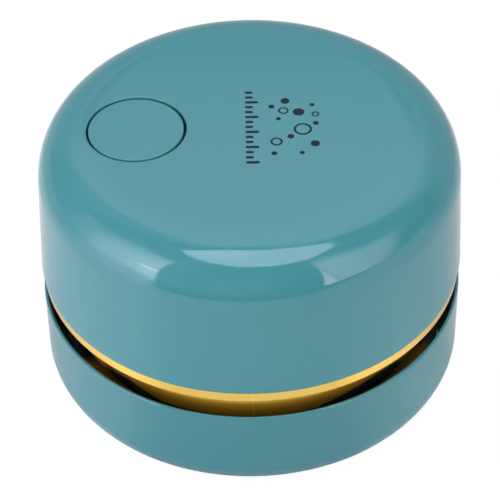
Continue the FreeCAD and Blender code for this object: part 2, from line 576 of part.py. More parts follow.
# ---------------------------------------------------------------- switch board, switch and leads
board = box(-34.2, -15.4, -9.8, 9.8, 42.0, 43.4)
corner = [e for e in board.Edges if abs(e.Vertexes[0].Z - e.Vertexes[1].Z) > 1]
board = board.makeFillet(1.2, corner)
for x, y in POSTS[:2]:
    board = board.cut(cyl(1.1, 40, 45, x, y))
board = board.fuse([box(-29.6, -27.4, 2.2, 5.2, 43.3, 44.3), box(-29.9, -27.1, -4.6, -1.8, 43.3, 44.0)]).removeSplitter()
save("switch_board", board)
screws = [panhead(x, y, 44.6, 38.2, 1.8, 1.15, 0.75, up=False) for x, y in POSTS[:2]]
save("board_screws", Part.makeCompound(screws))
switch = box(BUTTON_X - 4.2, BUTTON_X + 4.2, -4.2, 4.2, 43.5, 48.6)
switch = switch.makeFillet(0.4, [e for e in switch.Edges if abs(e.Vertexes[0].Z - e.Vertexes[1].Z) > 1])
switch = switch.cut(cyl(2.1, 44.6, 50, BUTTON_X))
save("push_switch", switch)
plunger = cyl(1.9, 46.4, 53.9, BUTTON_X).fuse(cyl(3.0, 52.7, 53.9, BUTTON_X)).removeSplitter()
save("switch_plunger", plunger)
save("switch_spring", ring(2.15, 2.85, 48.7, 52.6, BUTTON_X))

wires = {
    "lead_wire_red": [(-28.0, 17.5, 45.4), (-29.2, 16.0, 47.0), (-30.0, 12.6, 47.4), (-29.4, 9.2, 46.2), (-28.6, 8.0, 44.1)],
    "lead_wire_black": [(-28.0, -17.5, 45.4), (-27.6, -16.2, 48.6), (-22.5, -14.6, 50.2), (-14.0, -11.4, 51.2), (-8.2, -8.2, 51.2), (-5.5, -6.6, 49.4)],
    "lead_wire_motor": [(-16.6, 3.4, 44.1), (-16.2, 4.0, 48.2), (-13.6, 5.6, 50.4), (-9.0, 7.0, 51.0), (-5.5, 6.6, 49.4)],
}
for name, pts in wires.items():
    save(name, tube(pts, 0.6))
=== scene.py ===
import bpy, bmesh, math, random
import numpy as np
from mathutils import Matrix, Vector


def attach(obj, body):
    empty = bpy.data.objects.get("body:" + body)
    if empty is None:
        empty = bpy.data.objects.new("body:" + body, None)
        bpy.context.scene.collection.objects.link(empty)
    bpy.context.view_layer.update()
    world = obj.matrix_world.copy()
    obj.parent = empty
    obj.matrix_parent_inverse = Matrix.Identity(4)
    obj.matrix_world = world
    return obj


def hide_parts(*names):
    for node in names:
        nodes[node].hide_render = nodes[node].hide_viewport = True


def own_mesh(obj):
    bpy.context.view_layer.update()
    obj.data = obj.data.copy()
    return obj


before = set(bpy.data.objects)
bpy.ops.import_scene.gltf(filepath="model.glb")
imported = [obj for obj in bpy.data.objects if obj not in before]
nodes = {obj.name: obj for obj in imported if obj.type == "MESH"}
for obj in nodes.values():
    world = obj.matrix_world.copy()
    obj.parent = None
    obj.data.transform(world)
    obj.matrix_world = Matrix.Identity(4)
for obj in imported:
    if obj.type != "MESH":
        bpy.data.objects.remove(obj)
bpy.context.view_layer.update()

MM = 0.001
N = 384                  # steps round every turned surface

# ------------------------------------------------------------------ the outline of the body, in millimetres
HEIGHT, SHELL_R, WALL_R, SHELL_BOTTOM = 60.4, 42.5, 41.88, 28.9
CAP_EDGE = 28.82
SH_A, SH_B, SH_N, SAG, SHELL_T = 11.4, 10.3, 2.12, 0.45, 2.0
DRAFT = (SHELL_R - WALL_R) / (HEIGHT - SH_B - SHELL_BOTTOM)
BX, BR, BHR = -22.0, 9.4, 9.85


def shoulder(t):
    a = t * math.pi / 2
    r = WALL_R - SH_A + SH_A * math.sin(a) ** (2 / SH_N)
    z = HEIGHT - SAG * (r / WALL_R) ** 2 - SH_B * (1 - math.cos(a) ** (2 / SH_N))
    return r + DRAFT * (HEIGHT - SH_B - z), z


_t = np.concatenate([[0.0], np.geomspace(1e-4, 1.0, 1600)])
_s = np.array([shoulder(t) for t in _t])
R_IN = _s[0, 0]


def crown(r):
    """Height of the outside at radius r, crown and shoulder."""
    r = np.asarray(r, float)
    flat = HEIGHT - SAG * (r / WALL_R) ** 2 + 0.0
    return np.where(r <= R_IN, flat, np.interp(r, _s[:, 0], _s[:, 1]))


# ------------------------------------------------------------------ mesh helpers
def circle(r, z, cx=0.0, cy=0.0, n=N):
    a = np.arange(n) * 2 * math.pi / n
    return np.stack([cx + r * np.cos(a), cy + r * np.sin(a), np.full(n, float(z))], 1)


def corners(points, seg=6, support=0.25):
    """Closed outline with rounded corners. points are (r, z, radius); a straight run gets a point near each end."""
    n = len(points)
    xy = [np.array(q[:2], float) for q in points]
    dirs, cuts, angs = [], [], []
    for i in range(n):
        a, b = xy[i - 1] - xy[i], xy[(i + 1) % n] - xy[i]
        la, lb = np.linalg.norm(a), np.linalg.norm(b)
        a, b = a / la, b / lb
        ang = math.acos(max(-1, min(1, float(a @ b))))
        rad = points[i][2] if len(points[i]) > 2 else 0.0
        dirs.append((a, b, la, lb))
        angs.append(ang)
        cuts.append(rad / math.tan(ang / 2) if rad > 0 and ang < math.pi - 0.02 else 0.0)
    for i in range(n):
        j = (i + 1) % n
        length = dirs[i][3]
        if cuts[i] + cuts[j] > length:
            f = length / (cuts[i] + cuts[j])
            cuts[i], cuts[j] = cuts[i] * f, cuts[j] * f
    out = []
    for i in range(n):
        a, b, la, lb = dirs[i]
        cut, ang, p = cuts[i], angs[i], xy[i]
        if cut <= 0:
            out.append(p)
            continue
        rad = cut * math.tan(ang / 2)
        c = p + (a + b) / np.linalg.norm(a + b) * (rad / math.sin(ang / 2))
        s, e = p + a * cut, p + b * cut
        if la - cut - cuts[i - 1] > 3 * support:
            out.append(s + a * support)
        v0, v1 = s - c, e - c
        th = math.pi - ang
        for k in range(seg + 1):
            f = k / seg
            out.append(c + (math.sin((1 - f) * th) * v0 + math.sin(f * th) * v1) / math.sin(th))
        if lb - cut - cuts[(i + 1) % n] > 3 * support:
            out.append(e + b * support)
    keep = []
    for q in out:
        if not keep or np.linalg.norm(q - keep[-1]) > 1e-4:
            keep.append(q)
    if np.linalg.norm(keep[0] - keep[-1]) < 1e-4:
        keep.pop()
    return [tuple(q) for q in keep]


def loops_to_object(name, parts, material, smooth_angle=50.0):
    """parts are lists of loops (n x 3 arrays, in mm) with a flag: "ring" closes the last loop to the first,
    "caps" closes both ends with a fan, "start" or "end" closes only that end with one, any other flag such as "strip"
    leaves both open."""
    verts, faces = [], []
    for loops, kind in parts:
        base = len(verts)
        n = len(loops[0])
        for lp in loops:
            verts.extend([tuple(v * MM) for v in lp])
        m = len(loops)
        pairs = [(i, i + 1) for i in range(m - 1)]
        if kind == "ring":
            pairs.append((m - 1, 0))
        for i, j in pairs:
            for k in range(n):
                k1 = (k + 1) % n
                faces.append((base + i * n + k, base + i * n + k1, base + j * n + k1, base + j * n + k))
        if kind in ("caps", "start"):
            c = len(verts)
            verts.append(tuple(np.mean(loops[0], 0) * MM))
            faces.extend([(c, base + (k + 1) % n, base + k) for k in range(n)])
        if kind in ("caps", "end"):
            c = len(verts)
            verts.append(tuple(np.mean(loops[-1], 0) * MM))
            o = base + (m - 1) * n
            faces.extend([(c, o + k, o + (k + 1) % n) for k in range(n)])
    me = bpy.data.meshes.new(name)
    me.from_pydata(verts, [], faces)
    bm = bmesh.new()
    bm.from_mesh(me)
    bmesh.ops.recalc_face_normals(bm, faces=bm.faces)
    bm.to_mesh(me)
    bm.free()
    me.validate()
    me.shade_smooth()
    me.set_sharp_from_angle(angle=math.radians(smooth_angle))
    ob = bpy.data.objects.new(name, me)
    bpy.context.scene.collection.objects.link(ob)
    if material is not None:
        me.materials.append(material)
    return ob


def turned(profile, cx=0.0, cy=0.0, n=N):
    return [circle(max(r, 0.0), z, cx, cy, n) for r, z in profile]


def box_part(x0, x1, y0, y1, z0, z1, bevel=0.25, turn=0.0):
    """Rounded box as one closed ring stack, turned about Z by so many degrees."""
    def outline(inset):
        r = max(bevel - inset, 0.02)
        pts = []
        for cx, cy, a0 in ((x1 - bevel, y1 - bevel, 0), (x0 + bevel, y1 - bevel, 90), (x0 + bevel, y0 + bevel, 180), (x1 - bevel, y0 + bevel, 270)):
            for k in range(5):
                a = math.radians(a0 + 22.5 * k)
                pts.append((cx + r * math.cos(a), cy + r * math.sin(a)))
        return np.array(pts)
    loops = []
    for k in range(5):
        a = math.radians(22.5 * k)
        loops.append((bevel * (1 - math.sin(a)), z0 + bevel * (1 - math.cos(a))))
    for k in range(5):
        a = math.radians(90 - 22.5 * k)
        loops.append((bevel * (1 - math.sin(a)), z1 - bevel * (1 - math.cos(a))))
    c, s = math.cos(math.radians(turn)), math.sin(math.radians(turn))
    out = []
    for inset, z in loops:
        p = outline(inset)
        out.append(np.stack([p[:, 0] * c - p[:, 1] * s, p[:, 0] * s + p[:, 1] * c, np.full(len(p), z)], 1))
    return (out, "caps")


# ------------------------------------------------------------------ material helpers
def srgb(r, g, b):
    def f(c):
        c /= 255.0
        return c / 12.92 if c <= 0.04045 else ((c + 0.055) / 1.055) ** 2.4
    return (f(r), f(g), f(b), 1.0)


class Mat:
    """Thin wrapper that adds nodes to one material."""

    def __init__(self, name):
        self.m = bpy.data.materials.new(name)
        self.m.use_nodes = True
        self.t = self.m.node_tree
        self.n = self.t.nodes
        self.b = self.n["Principled BSDF"]
        self.coord = self.n.new("ShaderNodeTexCoord").outputs["Object"]

    def link(self, a, b):
        self.t.links.new(a, b)

    def math(self, op, *vals):
        nd = self.n.new("ShaderNodeMath")
        nd.operation = op
        for i, v in enumerate(vals):
            if hasattr(v, "links"):
                self.link(v, nd.inputs[i])
            else:
                nd.inputs[i].default_value = v
        return nd.outputs[0]

    def noise(self, scale, detail=2.0, rough=0.5, stretch=None, vec=None):
        v = vec or self.coord
        if stretch:
            mp = self.n.new("ShaderNodeMapping")
            mp.inputs["Scale"].default_value = stretch
            self.link(v, mp.inputs["Vector"])
            v = mp.outputs[0]
        nd = self.n.new("ShaderNodeTexNoise")
        nd.inputs["Scale"].default_value = scale
        nd.inputs["Detail"].default_value = detail
        nd.inputs["Roughness"].default_value = rough
        self.link(v, nd.inputs["Vector"])
        return nd.outputs["Fac"]

    def voronoi(self, scale, feature="F1", out="Distance"):
        nd = self.n.new("ShaderNodeTexVoronoi")
        nd.feature = feature
        nd.inputs["Scale"].default_value = scale
        self.link(self.coord, nd.inputs["Vector"])
        return nd.outputs[out]

    def span(self, fac, lo, hi, a=0.0, b=1.0, smooth=False):
        nd = self.n.new("ShaderNodeMapRange")
        nd.interpolation_type = "SMOOTHSTEP" if smooth else "LINEAR"
        nd.inputs["From Min"].default_value = lo
        nd.inputs["From Max"].default_value = hi
        nd.inputs["To Min"].default_value = a
        nd.inputs["To Max"].default_value = b
        self.link(fac, nd.inputs["Value"])
        return nd.outputs["Result"]

    def mix(self, fac, a, b):
        nd = self.n.new("ShaderNodeMix")
        nd.data_type = "RGBA"
        if hasattr(fac, "links"):
            self.link(fac, nd.inputs[0])
        else:
            nd.inputs[0].default_value = fac
        for i, v in ((6, a), (7, b)):
            if hasattr(v, "links"):
                self.link(v, nd.inputs[i])
            else:
                nd.inputs[i].default_value = v
        return nd.outputs[2]

    def bump(self, height, strength, distance, prev=None):
        nd = self.n.new("ShaderNodeBump")
        nd.inputs["Strength"].default_value = strength
        nd.inputs["Distance"].default_value = distance
        self.link(height, nd.inputs["Height"])
        if prev is not None:
            self.link(prev, nd.inputs["Normal"])
        return nd.outputs["Normal"]

    def xyz(self):
        nd = self.n.new("ShaderNodeSeparateXYZ")
        self.link(self.coord, nd.inputs[0])
        return nd.outputs[0], nd.outputs[1], nd.outputs[2]

    def set(self, **kw):
        for k, v in kw.items():
            s = self.b.inputs[k.replace("_", " ")]
            if hasattr(v, "links"):
                self.link(v, s)
            else:
                s.default_value = v
        return self


def plastic(name, colour, rough, grain=0.0, grain_scale=3500.0, ior=1.5, vary=0.03, coat=0.0):
    """Moulded plastic: slight drift of colour and gloss, optional fine texture from the mould."""
    m = Mat(name)
    drift = m.noise(55.0, 3.0)
    fine = m.noise(900.0, 2.0)
    dark = tuple(c * (1 - vary) for c in colour[:3]) + (1.0,)
    light = tuple(min(1, c * (1 + vary)) for c in colour[:3]) + (1.0,)
    m.set(Base_Color=m.mix(drift, dark, light), IOR=ior)
    m.set(Roughness=m.span(m.math("ADD", drift, m.math("MULTIPLY", fine, 0.5)), 0.4, 1.1, rough * 0.9, rough * 1.12))
    if grain > 0:
        m.set(Normal=m.bump(m.noise(grain_scale, 2.0, 0.6), grain, 0.00002))
    if coat:
        m.b.inputs["Coat Weight"].default_value = coat
        m.b.inputs["Coat Roughness"].default_value = 0.05
    return m.m


TEAL = (0.0556, 0.2295, 0.2430, 1.0)


def teal(name="teal_abs_gloss", shade=(1.0, 1.0, 1.0)):
    m = Mat(name)
    drift = m.noise(38.0, 3.0)
    dust = m.span(m.noise(2600.0, 1.0), 0.73, 0.80)
    a = tuple(c * 0.985 * k for c, k in zip(TEAL[:3], shade)) + (1.0,)
    b = tuple(c * 1.015 * k for c, k in zip(TEAL[:3], shade)) + (1.0,)
    base = m.mix(drift, a, b)
    base = m.mix(m.math("MULTIPLY", dust, 0.05), base, (0.42, 0.62, 0.66, 1.0))
    m.set(Base_Color=base, IOR=1.5)
    m.set(Roughness=m.span(m.noise(120.0, 4.0), 0.35, 0.7, 0.065, 0.085))
    wave = m.noise(85.0, 2.0)
    orange = m.noise(900.0, 1.0)
    m.set(Normal=m.bump(orange, 0.05, 0.00002, m.bump(wave, 0.10, 0.00008)))
    return m.m


def gold():
    m = Mat("gold_foil_mirror")
    x, y, z = m.xyz()
    ang = m.math("ARCTAN2", y, x)
    comb = m.n.new("ShaderNodeCombineXYZ")
    m.link(m.math("MULTIPLY", ang, 42.0), comb.inputs[0])
    m.link(m.math("MULTIPLY", z, 60.0), comb.inputs[1])
    streak = m.noise(6.0, 4.0, 0.65, vec=comb.outputs[0])
    broad = m.noise(1.3, 2.0, 0.5, vec=comb.outputs[0])
    base = m.mix(streak, (0.89, 0.530, 0.110, 1.0), (1.0, 0.630, 0.142, 1.0))
    # foil seam at the front
    d = m.math("ABSOLUTE", m.math("ADD", ang, 1.5735))
    seam = m.span(d, 0.0, 0.0035, 1.0, 0.0, True)
    base = m.mix(m.math("MULTIPLY", seam, 0.35), base, (1.0, 0.86, 0.5, 1.0))
    m.set(Base_Color=base, Metallic=1.0)
    m.set(Roughness=m.span(m.math("ADD", streak, broad), 0.6, 1.4, 0.12, 0.22))
    h = m.math("ADD", m.math("MULTIPLY", streak, 0.5), m.math("MULTIPLY", seam, 0.6))
    m.set(Normal=m.bump(h, 0.12, 0.00003))
    return m.m


def ramp(m, fac, lo, hi, stops):
    """Colour that follows a value between lo and hi through the stops (value, colour)."""
    nd = m.n.new("ShaderNodeValToRGB")
    el_ = nd.color_ramp.elements
    while len(el_) < len(stops):
        el_.new(0.5)
    for e_, (v, c) in zip(el_, sorted(stops)):
        e_.position = (v - lo) / (hi - lo)
        e_.color = tuple(c) + (1.0,)
    m.link(m.span(fac, lo, hi), nd.inputs[0])
    return nd.outputs[0]


# near-black of the painted shade in the gold recess and on the bayonet ring
SHADE_BLACK = (0.0145, 0.0145, 0.0330, 1.0)


def satin_gold(name, stops, rough, foot=False):
    """Satin gold plating over plastic, drawn in fine upright lines; the colour carries painted shade: darker towards
    the foot, painted black at both sides.
    """
    m = Mat(name)
    x, y, z = m.xyz()
    ang = m.math("ARCTAN2", y, x)
    comb = m.n.new("ShaderNodeCombineXYZ")
    m.link(m.math("MULTIPLY", ang, 60.0), comb.inputs[0])
    m.link(m.math("MULTIPLY", z, 40.0), comb.inputs[1])
    streak = m.noise(7.0, 4.0, 0.6, vec=comb.outputs[0])
    base = ramp(m, z, stops[0][0], stops[-1][0], stops)
    base = m.mix(m.span(streak, 0.35, 0.75, 0.0, 0.22), base, (0.10, 0.045, 0.004, 1.0))
    d = m.math("ABSOLUTE", m.math("ADD", ang, 1.5735))
    base = m.mix(m.math("MULTIPLY", m.span(d, 0.0, 0.004, 1.0, 0.0, True), 0.25), base, (1.0, 0.62, 0.12, 1.0))
    rad = m.math("SQRT", m.math("ADD", m.math("MULTIPLY", x, x), m.math("MULTIPLY", y, y)))
    side = m.math("DIVIDE", m.math("ABSOLUTE", x), rad)
    right = m.math("DIVIDE", x, rad)
    if foot:                                               # painted black shade rises from the foot towards the sides, then gives way to painted brown shading, lighter on the left than on the right
        lo, hi = 0.0165, 0.0200
        level = ramp(m, right, -1.0, 1.0, [(s_, ((v * MM - lo) / (hi - lo),) * 3) for s_, v in (
            (-0.90, 17.9), (-0.777, 18.5), (-0.72, 19.1), (-0.656, 19.45), (-0.60, 18.95), (-0.545, 18.45), (-0.454, 17.45), (-0.38, 16.8),
            (0.27, 16.8), (0.33, 17.7), (0.375, 18.3), (0.454, 18.85), (0.53, 19.35), (0.643, 19.85), (0.72, 19.55), (0.81, 18.2), (0.90, 17.8))])
        edge = m.math("ADD", m.span(level, 0.0, 1.0, lo, hi), m.span(streak, 0.3, 0.7, -0.00006, 0.00006))
        over = m.math("SUBTRACT", z, edge)
        dark = m.span(over, -0.00022, 0.00026, 1.0, 0.0, True)
        base = m.mix(dark, base, SHADE_BLACK)
        brown_l = ramp(m, z, 0.0176, 0.0212, [(0.0176, (0.62, 0.310, 0.030)), (0.0188, (0.75, 0.370, 0.034)), (0.0198, (0.92, 0.500, 0.060)), (0.0212, (1.0, 0.60, 0.09))])
        brown_r = ramp(m, z, 0.0176, 0.0212, [(0.0176, (0.30, 0.150, 0.0125)), (0.0188, (0.33, 0.160, 0.014)), (0.0198, (0.46, 0.230, 0.022)), (0.0212, (0.70, 0.36, 0.04))])
        brown = m.mix(m.span(right, -0.2, 0.2), brown_l, brown_r)
        base = m.mix(m.span(side, 0.755, 0.81, 0.0, 1.0, True), base, brown)
    else:
        # painted light and shade: the left side painted lighter gold, a band on the right painted black
        base = m.mix(m.span(right, -0.2, 0.2), m.mix(0.62, base, (0.98, 0.50, 0.055, 1.0)), base)
        base = m.mix(m.math("MULTIPLY", m.span(right, -0.1, 0.1), m.span(right, 0.70, 0.755, 1.0, 0.0, True)), base, SHADE_BLACK)
    # painted shade: black at the far left and far right
    far = m.math("MAXIMUM", m.span(m.math("MULTIPLY", right, -1.0), 0.865, 0.915, 0.0, 1.0, True), m.span(right, 0.90, 0.955, 0.0, 1.0, True))
    base = m.mix(far, base, SHADE_BLACK)
    m.set(Base_Color=base, IOR=1.45)
    m.set(Roughness=m.span(streak, 0.3, 0.7, rough * 0.9, rough * 1.1))
    m.set(Normal=m.bump(streak, 0.10, 0.00003))
    return m.m


def metal(name, colour, rough, scratch=0.3, stretch=(1, 1, 1)):
    m = Mat(name)
    f = m.noise(700.0, 4.0, 0.6, stretch)
    g = m.noise(60.0, 3.0)
    dark = tuple(c * 0.82 for c in colour[:3]) + (1.0,)
    m.set(Base_Color=m.mix(g, dark, colour), Metallic=1.0)
    m.set(Roughness=m.span(f, 0.3, 0.7, rough * 0.7, rough * 1.35))
    m.set(Normal=m.bump(f, scratch, 0.00002))
    return m.m


# ------------------------------------------------------------------ finishes
M_TEAL = teal()
# painted shade: the cup takes the cap's teal, painted darker for the lower body
M_TEAL_CUP_SHADED = teal("teal_abs_cup_painted_shade", (0.85, 0.90, 0.905))
M_GOLD = gold()
# painted shade and light by height: dark at the foot of the recess, painted bright at its top under the band, where
# the band's shadow falls
M_RECESS = satin_gold("gold_satin_recess", [
    (0.0176, (0.25, 0.160, 0.0100)), (0.0183, (0.28, 0.150, 0.0070)), (0.0189, (0.34, 0.148, 0.0062)), (0.0194, (0.345, 0.172, 0.0092)),
    (0.01997, (0.44, 0.218, 0.0122)), (0.0205, (0.53, 0.250, 0.0175)), (0.0209, (0.61, 0.295, 0.0210)), (0.0212, (0.76, 0.420, 0.040)),
    (0.0216, (0.95, 0.620, 0.088)), (0.0222, (0.97, 0.640, 0.095))], 0.5, True)
# painted shade: the bayonet's gold painted darker towards its foot
M_BAYONET = satin_gold("gold_satin_bayonet", [(0.0115, (0.20, 0.100, 0.010)), (0.01335, (0.34, 0.170, 0.015))], 0.5)
M_BLACK = plastic("black_abs_satin", srgb(26, 26, 28), 0.42, 0.35)
M_GREY = plastic("grey_pp_satin", srgb(66, 68, 72), 0.45, 0.4)
M_NYLON = plastic("bristle_filament", srgb(30, 30, 33), 0.35, 0.0, vary=0.25)
M_POM = plastic("glide_acetal", srgb(206, 206, 200), 0.32, 0.1)
M_FILTER = plastic("filter_frame_white", srgb(226, 228, 226), 0.38, 0.15)
M_RUBBER = plastic("seal_rubber_black", srgb(24, 24, 25), 0.72, 0.5, 2500.0)
M_MOTORWHITE = plastic("motor_nylon_white", srgb(224, 222, 214), 0.4, 0.15)
M_IMPELLER = plastic("impeller_white", srgb(232, 234, 234), 0.25, 0.08)
M_SWBLACK = plastic("switch_body_black", srgb(30, 30, 32), 0.38, 0.2)
M_SWWHITE = plastic("switch_plunger_white", srgb(228, 228, 222), 0.3, 0.1)
M_WRED = plastic("lead_pvc_red", srgb(186, 34, 30), 0.4, 0.1)
M_WBLACK = plastic("lead_pvc_black", srgb(24, 24, 26), 0.4, 0.1)
M_WWHITE = plastic("lead_pvc_white", srgb(224, 224, 218), 0.4, 0.1)
M_STEEL = metal("zinc_steel", srgb(178, 180, 184), 0.3, 0.25)
M_NICKEL = metal("bright_nickel", srgb(208, 205, 196), 0.16, 0.12)
M_BRONZE = metal("sintered_bronze", srgb(176, 138, 82), 0.45, 0.5)
M_COPPER_BAR = metal("commutator_copper", srgb(196, 122, 80), 0.25, 0.2)
M_FERRITE = plastic("ferrite_dark", srgb(44, 44, 48), 0.6, 0.6, 2000.0)
M_CARBON = plastic("graphite", srgb(28, 28, 29), 0.55, 0.5, 2600.0)


def laminations():
    m = Mat("stacked_laminations")
    x, y, z = m.xyz()
    w = m.math("FRACT", m.math("MULTIPLY", z, 2000.0))
    line = m.span(m.math("ABSOLUTE", m.math("SUBTRACT", w, 0.5)), 0.36, 0.48)
    m.set(Base_Color=m.mix(line, srgb(120, 118, 114), srgb(48, 46, 44)), Metallic=0.9)
    m.set(Roughness=m.span(m.noise(800.0), 0.3, 0.7, 0.3, 0.5))
    m.set(Normal=m.bump(line, 0.5, 0.00005))
    return m.m


def winding():
    m = Mat("enamelled_copper_winding")
    x, y, z = m.xyz()
    w = m.math("SINE", m.math("MULTIPLY", z, 2 * math.pi / 0.00032))
    m.set(Base_Color=m.mix(m.span(w, -1, 1), srgb(120, 58, 30), srgb(206, 118, 66)), Metallic=0.85)
    m.set(Roughness=0.28)
    m.set(Normal=m.bump(w, 0.7, 0.00008))
    return m.m


def mesh_cloth():
    m = Mat("filter_mesh_weave")
    x, y, z = m.xyz()
    k = 2 * math.pi / 0.0009
    gx = m.math("ABSOLUTE", m.math("SINE", m.math("MULTIPLY", x, k / 2)))
    gy = m.math("ABSOLUTE", m.math("SINE", m.math("MULTIPLY", y, k / 2)))
    hole = m.math("MULTIPLY", m.span(gx, 0.45, 0.7), m.span(gy, 0.45, 0.7))
    m.set(Base_Color=m.mix(hole, srgb(210, 213, 213), srgb(70, 72, 76)))
    m.set(Roughness=0.6)
    m.set(Normal=m.bump(hole, -0.8, 0.0002))
    return m.m


def foam():
    m = Mat("open_cell_foam")
    v = m.voronoi(1900.0)
    m.set(Base_Color=m.mix(m.span(v, 0.1, 0.6), srgb(34, 35, 38), srgb(88, 90, 95)))
    m.set(Roughness=0.95)
    m.set(Normal=m.bump(v, 0.9, 0.0004))
    return m.m


def board():
    m = Mat("solder_mask_green")
    x, y, z = m.xyz()
    cell = m.voronoi(420.0, "F1", "Distance")
    edge = m.span(m.math("ABSOLUTE", m.math("SINE", m.math("MULTIPLY", m.math("ADD", x, m.math("MULTIPLY", y, 0.35)), 1500.0))), 0.0, 0.16)
    m.set(Base_Color=m.mix(m.math("MULTIPLY", edge, 1.0), srgb(44, 122, 74), srgb(20, 84, 48)))
    m.set(Roughness=m.span(cell, 0.0, 0.8, 0.22, 0.3))
    m.set(Normal=m.bump(edge, 0.3, 0.00003))
    return m.m


def sleeve(name, plus):
    """Shrink sleeve of a cell: dark blue, a copper-coloured band at the + end, bare nickel nub and base."""
    m = Mat(name)
    x, y, z = m.xyz()
    s = m.math("MULTIPLY", x, float(plus))                 # metres towards the + end
    cy = m.math("SUBTRACT", y, 0.0213 * plus)
    cz = m.math("SUBTRACT", z, 0.039)
    rad = m.math("SQRT", m.math("ADD", m.math("MULTIPLY", cy, cy), m.math("MULTIPLY", cz, cz)))
    band = m.span(s, 0.0118, 0.0121)
    line = m.math("MULTIPLY", m.span(s, 0.0106, 0.0107), m.span(s, 0.0112, 0.0113, 1.0, 0.0))
    base = m.mix(band, srgb(30, 46, 92), srgb(196, 124, 62))
    base = m.mix(line, base, srgb(214, 214, 210))
    end = m.math("MULTIPLY", m.span(rad, 0.00655, 0.0066, 1.0, 0.0),
                 m.math("MAXIMUM", m.span(s, 0.02535, 0.0254), m.span(s, -0.0237, -0.02375)))
    base = m.mix(end, base, srgb(206, 204, 198))
    m.set(Base_Color=base, Metallic=m.math("MAXIMUM", end, m.math("MULTIPLY", band, 0.6)))
    m.set(Roughness=m.span(m.noise(300.0), 0.3, 0.7, 0.2, 0.3))
    m.set(Normal=m.bump(m.noise(180.0, 2.0), 0.15, 0.0001))
    return m.m


finish_of = {
    "filter_seat": M_TEAL, "frame_skirt": M_BLACK, "skirt_posts": M_BLACK, "bayonet_ring": M_BAYONET, "cover_posts": M_BLACK,
    "suction_plate": M_BLACK, "brush_ring": M_GREY, "glide_feet": M_POM, "base_screws": M_STEEL,
    "filter_frame": M_FILTER, "filter_mesh": mesh_cloth(), "filter_foam": foam(), "seal_ring": M_RUBBER,
    "inner_frame": M_BLACK, "battery_holder": M_GREY, "holder_screws": M_STEEL, "fan_cover": M_GREY,
    "fan_cover_screws": M_STEEL, "motor_can": M_STEEL, "motor_magnets": M_FERRITE, "motor_end_cap": M_MOTORWHITE,
    "motor_terminals": M_NICKEL, "carbon_brushes": M_CARBON, "motor_bushings": M_BRONZE, "motor_screws": M_STEEL,
    "battery_cell_left": sleeve("cell_sleeve_left", 1), "battery_cell_right": sleeve("cell_sleeve_right", -1),
    "battery_link_plate": M_NICKEL, "battery_contact_plates": M_NICKEL, "switch_board": board(), "board_screws": M_STEEL,
    "push_switch": M_SWBLACK, "lead_wire_red": M_WRED, "lead_wire_black": M_WBLACK, "lead_wire_motor": M_WWHITE,
    "motor_shaft": M_STEEL, "armature_core": laminations(), "armature_windings": winding(), "commutator": M_COPPER_BAR,
    "impeller": M_IMPELLER, "switch_plunger": M_SWWHITE,
}
for name, mat in finish_of.items():
    ob = nodes[name]
    if not ob.material_slots:
        ob.data.materials.append(mat)
    for s in ob.material_slots:
        s.material = mat

# ------------------------------------------------------------------ cap: one closed skin with the button well
RIM = 36.0               # radius where the crown's grid goes over to plain rings
HOLE_EDGE = 0.30


def grid_loops(cx, r0, r1, count, height, power=1.0):
    """Loops that pass from a circle round (cx, 0) to one round the axis, on the surface height(r)."""
    out = []
    a = np.arange(N) * 2 * math.pi / N
    for k in range(count + 1):
        f = (k / count) ** power
        c, r = cx * (1 - f), r0 * (1 - f) + r1 * f
        x, y = c + r * np.cos(a), r * np.sin(a)
        out.append(np.stack([x, y, height(np.hypot(x, y))], 1))
    return out


def inner_profile(offset):
    """The outside moved inwards by offset."""
    pts = []
    tt = np.concatenate([np.linspace(0.0, 0.03, 4), np.linspace(0.05, 1.0, 40)])
    base = [(r, float(crown(r))) for r in np.linspace(0, R_IN, 24)[:-1]] + [shoulder(t) for t in tt]
    base = np.array(base)
    tg = np.gradient(base, axis=0)
    tg /= np.linalg.norm(tg, axis=1)[:, None]
    pts = base + np.stack([tg[:, 1], -tg[:, 0]], 1) * offset
    pts[0, 0] = 0.0
    return pts


_inn = inner_profile(SHELL_T)


def inner_crown(r):
    return np.interp(np.asarray(r, float), _inn[:, 0], _inn[:, 1])


def ring_at(cx, r, dz_from_surface, surface):
    """Loop round (cx, 0) at so much below a surface."""
    a = np.arange(N) * 2 * math.pi / N
    x, y = cx + r * np.cos(a), r * np.sin(a)
    return np.stack([x, y, surface(np.hypot(x, y)) - dz_from_surface], 1)


cap_loops = []
# well wall from its lower end up to the edge
cap_loops += [circle(BHR + 0.15, 54.5, BX), circle(BHR, 54.65, BX), circle(BHR, 54.9, BX), circle(BHR, 57.0, BX)]
cap_loops += [ring_at(BX, BHR, HOLE_EDGE + 0.3, crown)]
for k in range(7):
    a = math.radians(15 * k)
    cap_loops.append(ring_at(BX, BHR + HOLE_EDGE * (1 - math.cos(a)), HOLE_EDGE * (1 - math.sin(a)), crown))
cap_loops += grid_loops(BX, BHR + HOLE_EDGE + 0.12, RIM, 60, crown, 1.15)
t_rim = float(np.interp(RIM, _s[:, 0], _t))
for t in np.linspace(t_rim, 1.0, 56)[1:]:
    r, z = shoulder(t)
    cap_loops.append(circle(r, z))
r1, z1 = shoulder(1.0)
for f in (0.04, 0.12, 0.25, 0.4, 0.55, 0.7, 0.85, 0.95):
    cap_loops.append(circle(r1 + (SHELL_R - r1) * f, z1 + (CAP_EDGE + 0.3 - z1) * f))
low = [(SHELL_R - 0.0, CAP_EDGE + 0.12), (SHELL_R - 0.015, CAP_EDGE + 0.05), (SHELL_R - 0.05, CAP_EDGE + 0.015), (SHELL_R - 0.12, CAP_EDGE),
       (SHELL_R - 0.6, CAP_EDGE), (40.75, CAP_EDGE), (40.55, CAP_EDGE + 0.05), (40.48, CAP_EDGE + 0.25)]
cap_loops += turned(low)
inner_wall = _inn[_inn[:, 0] > 33.0][::-1]
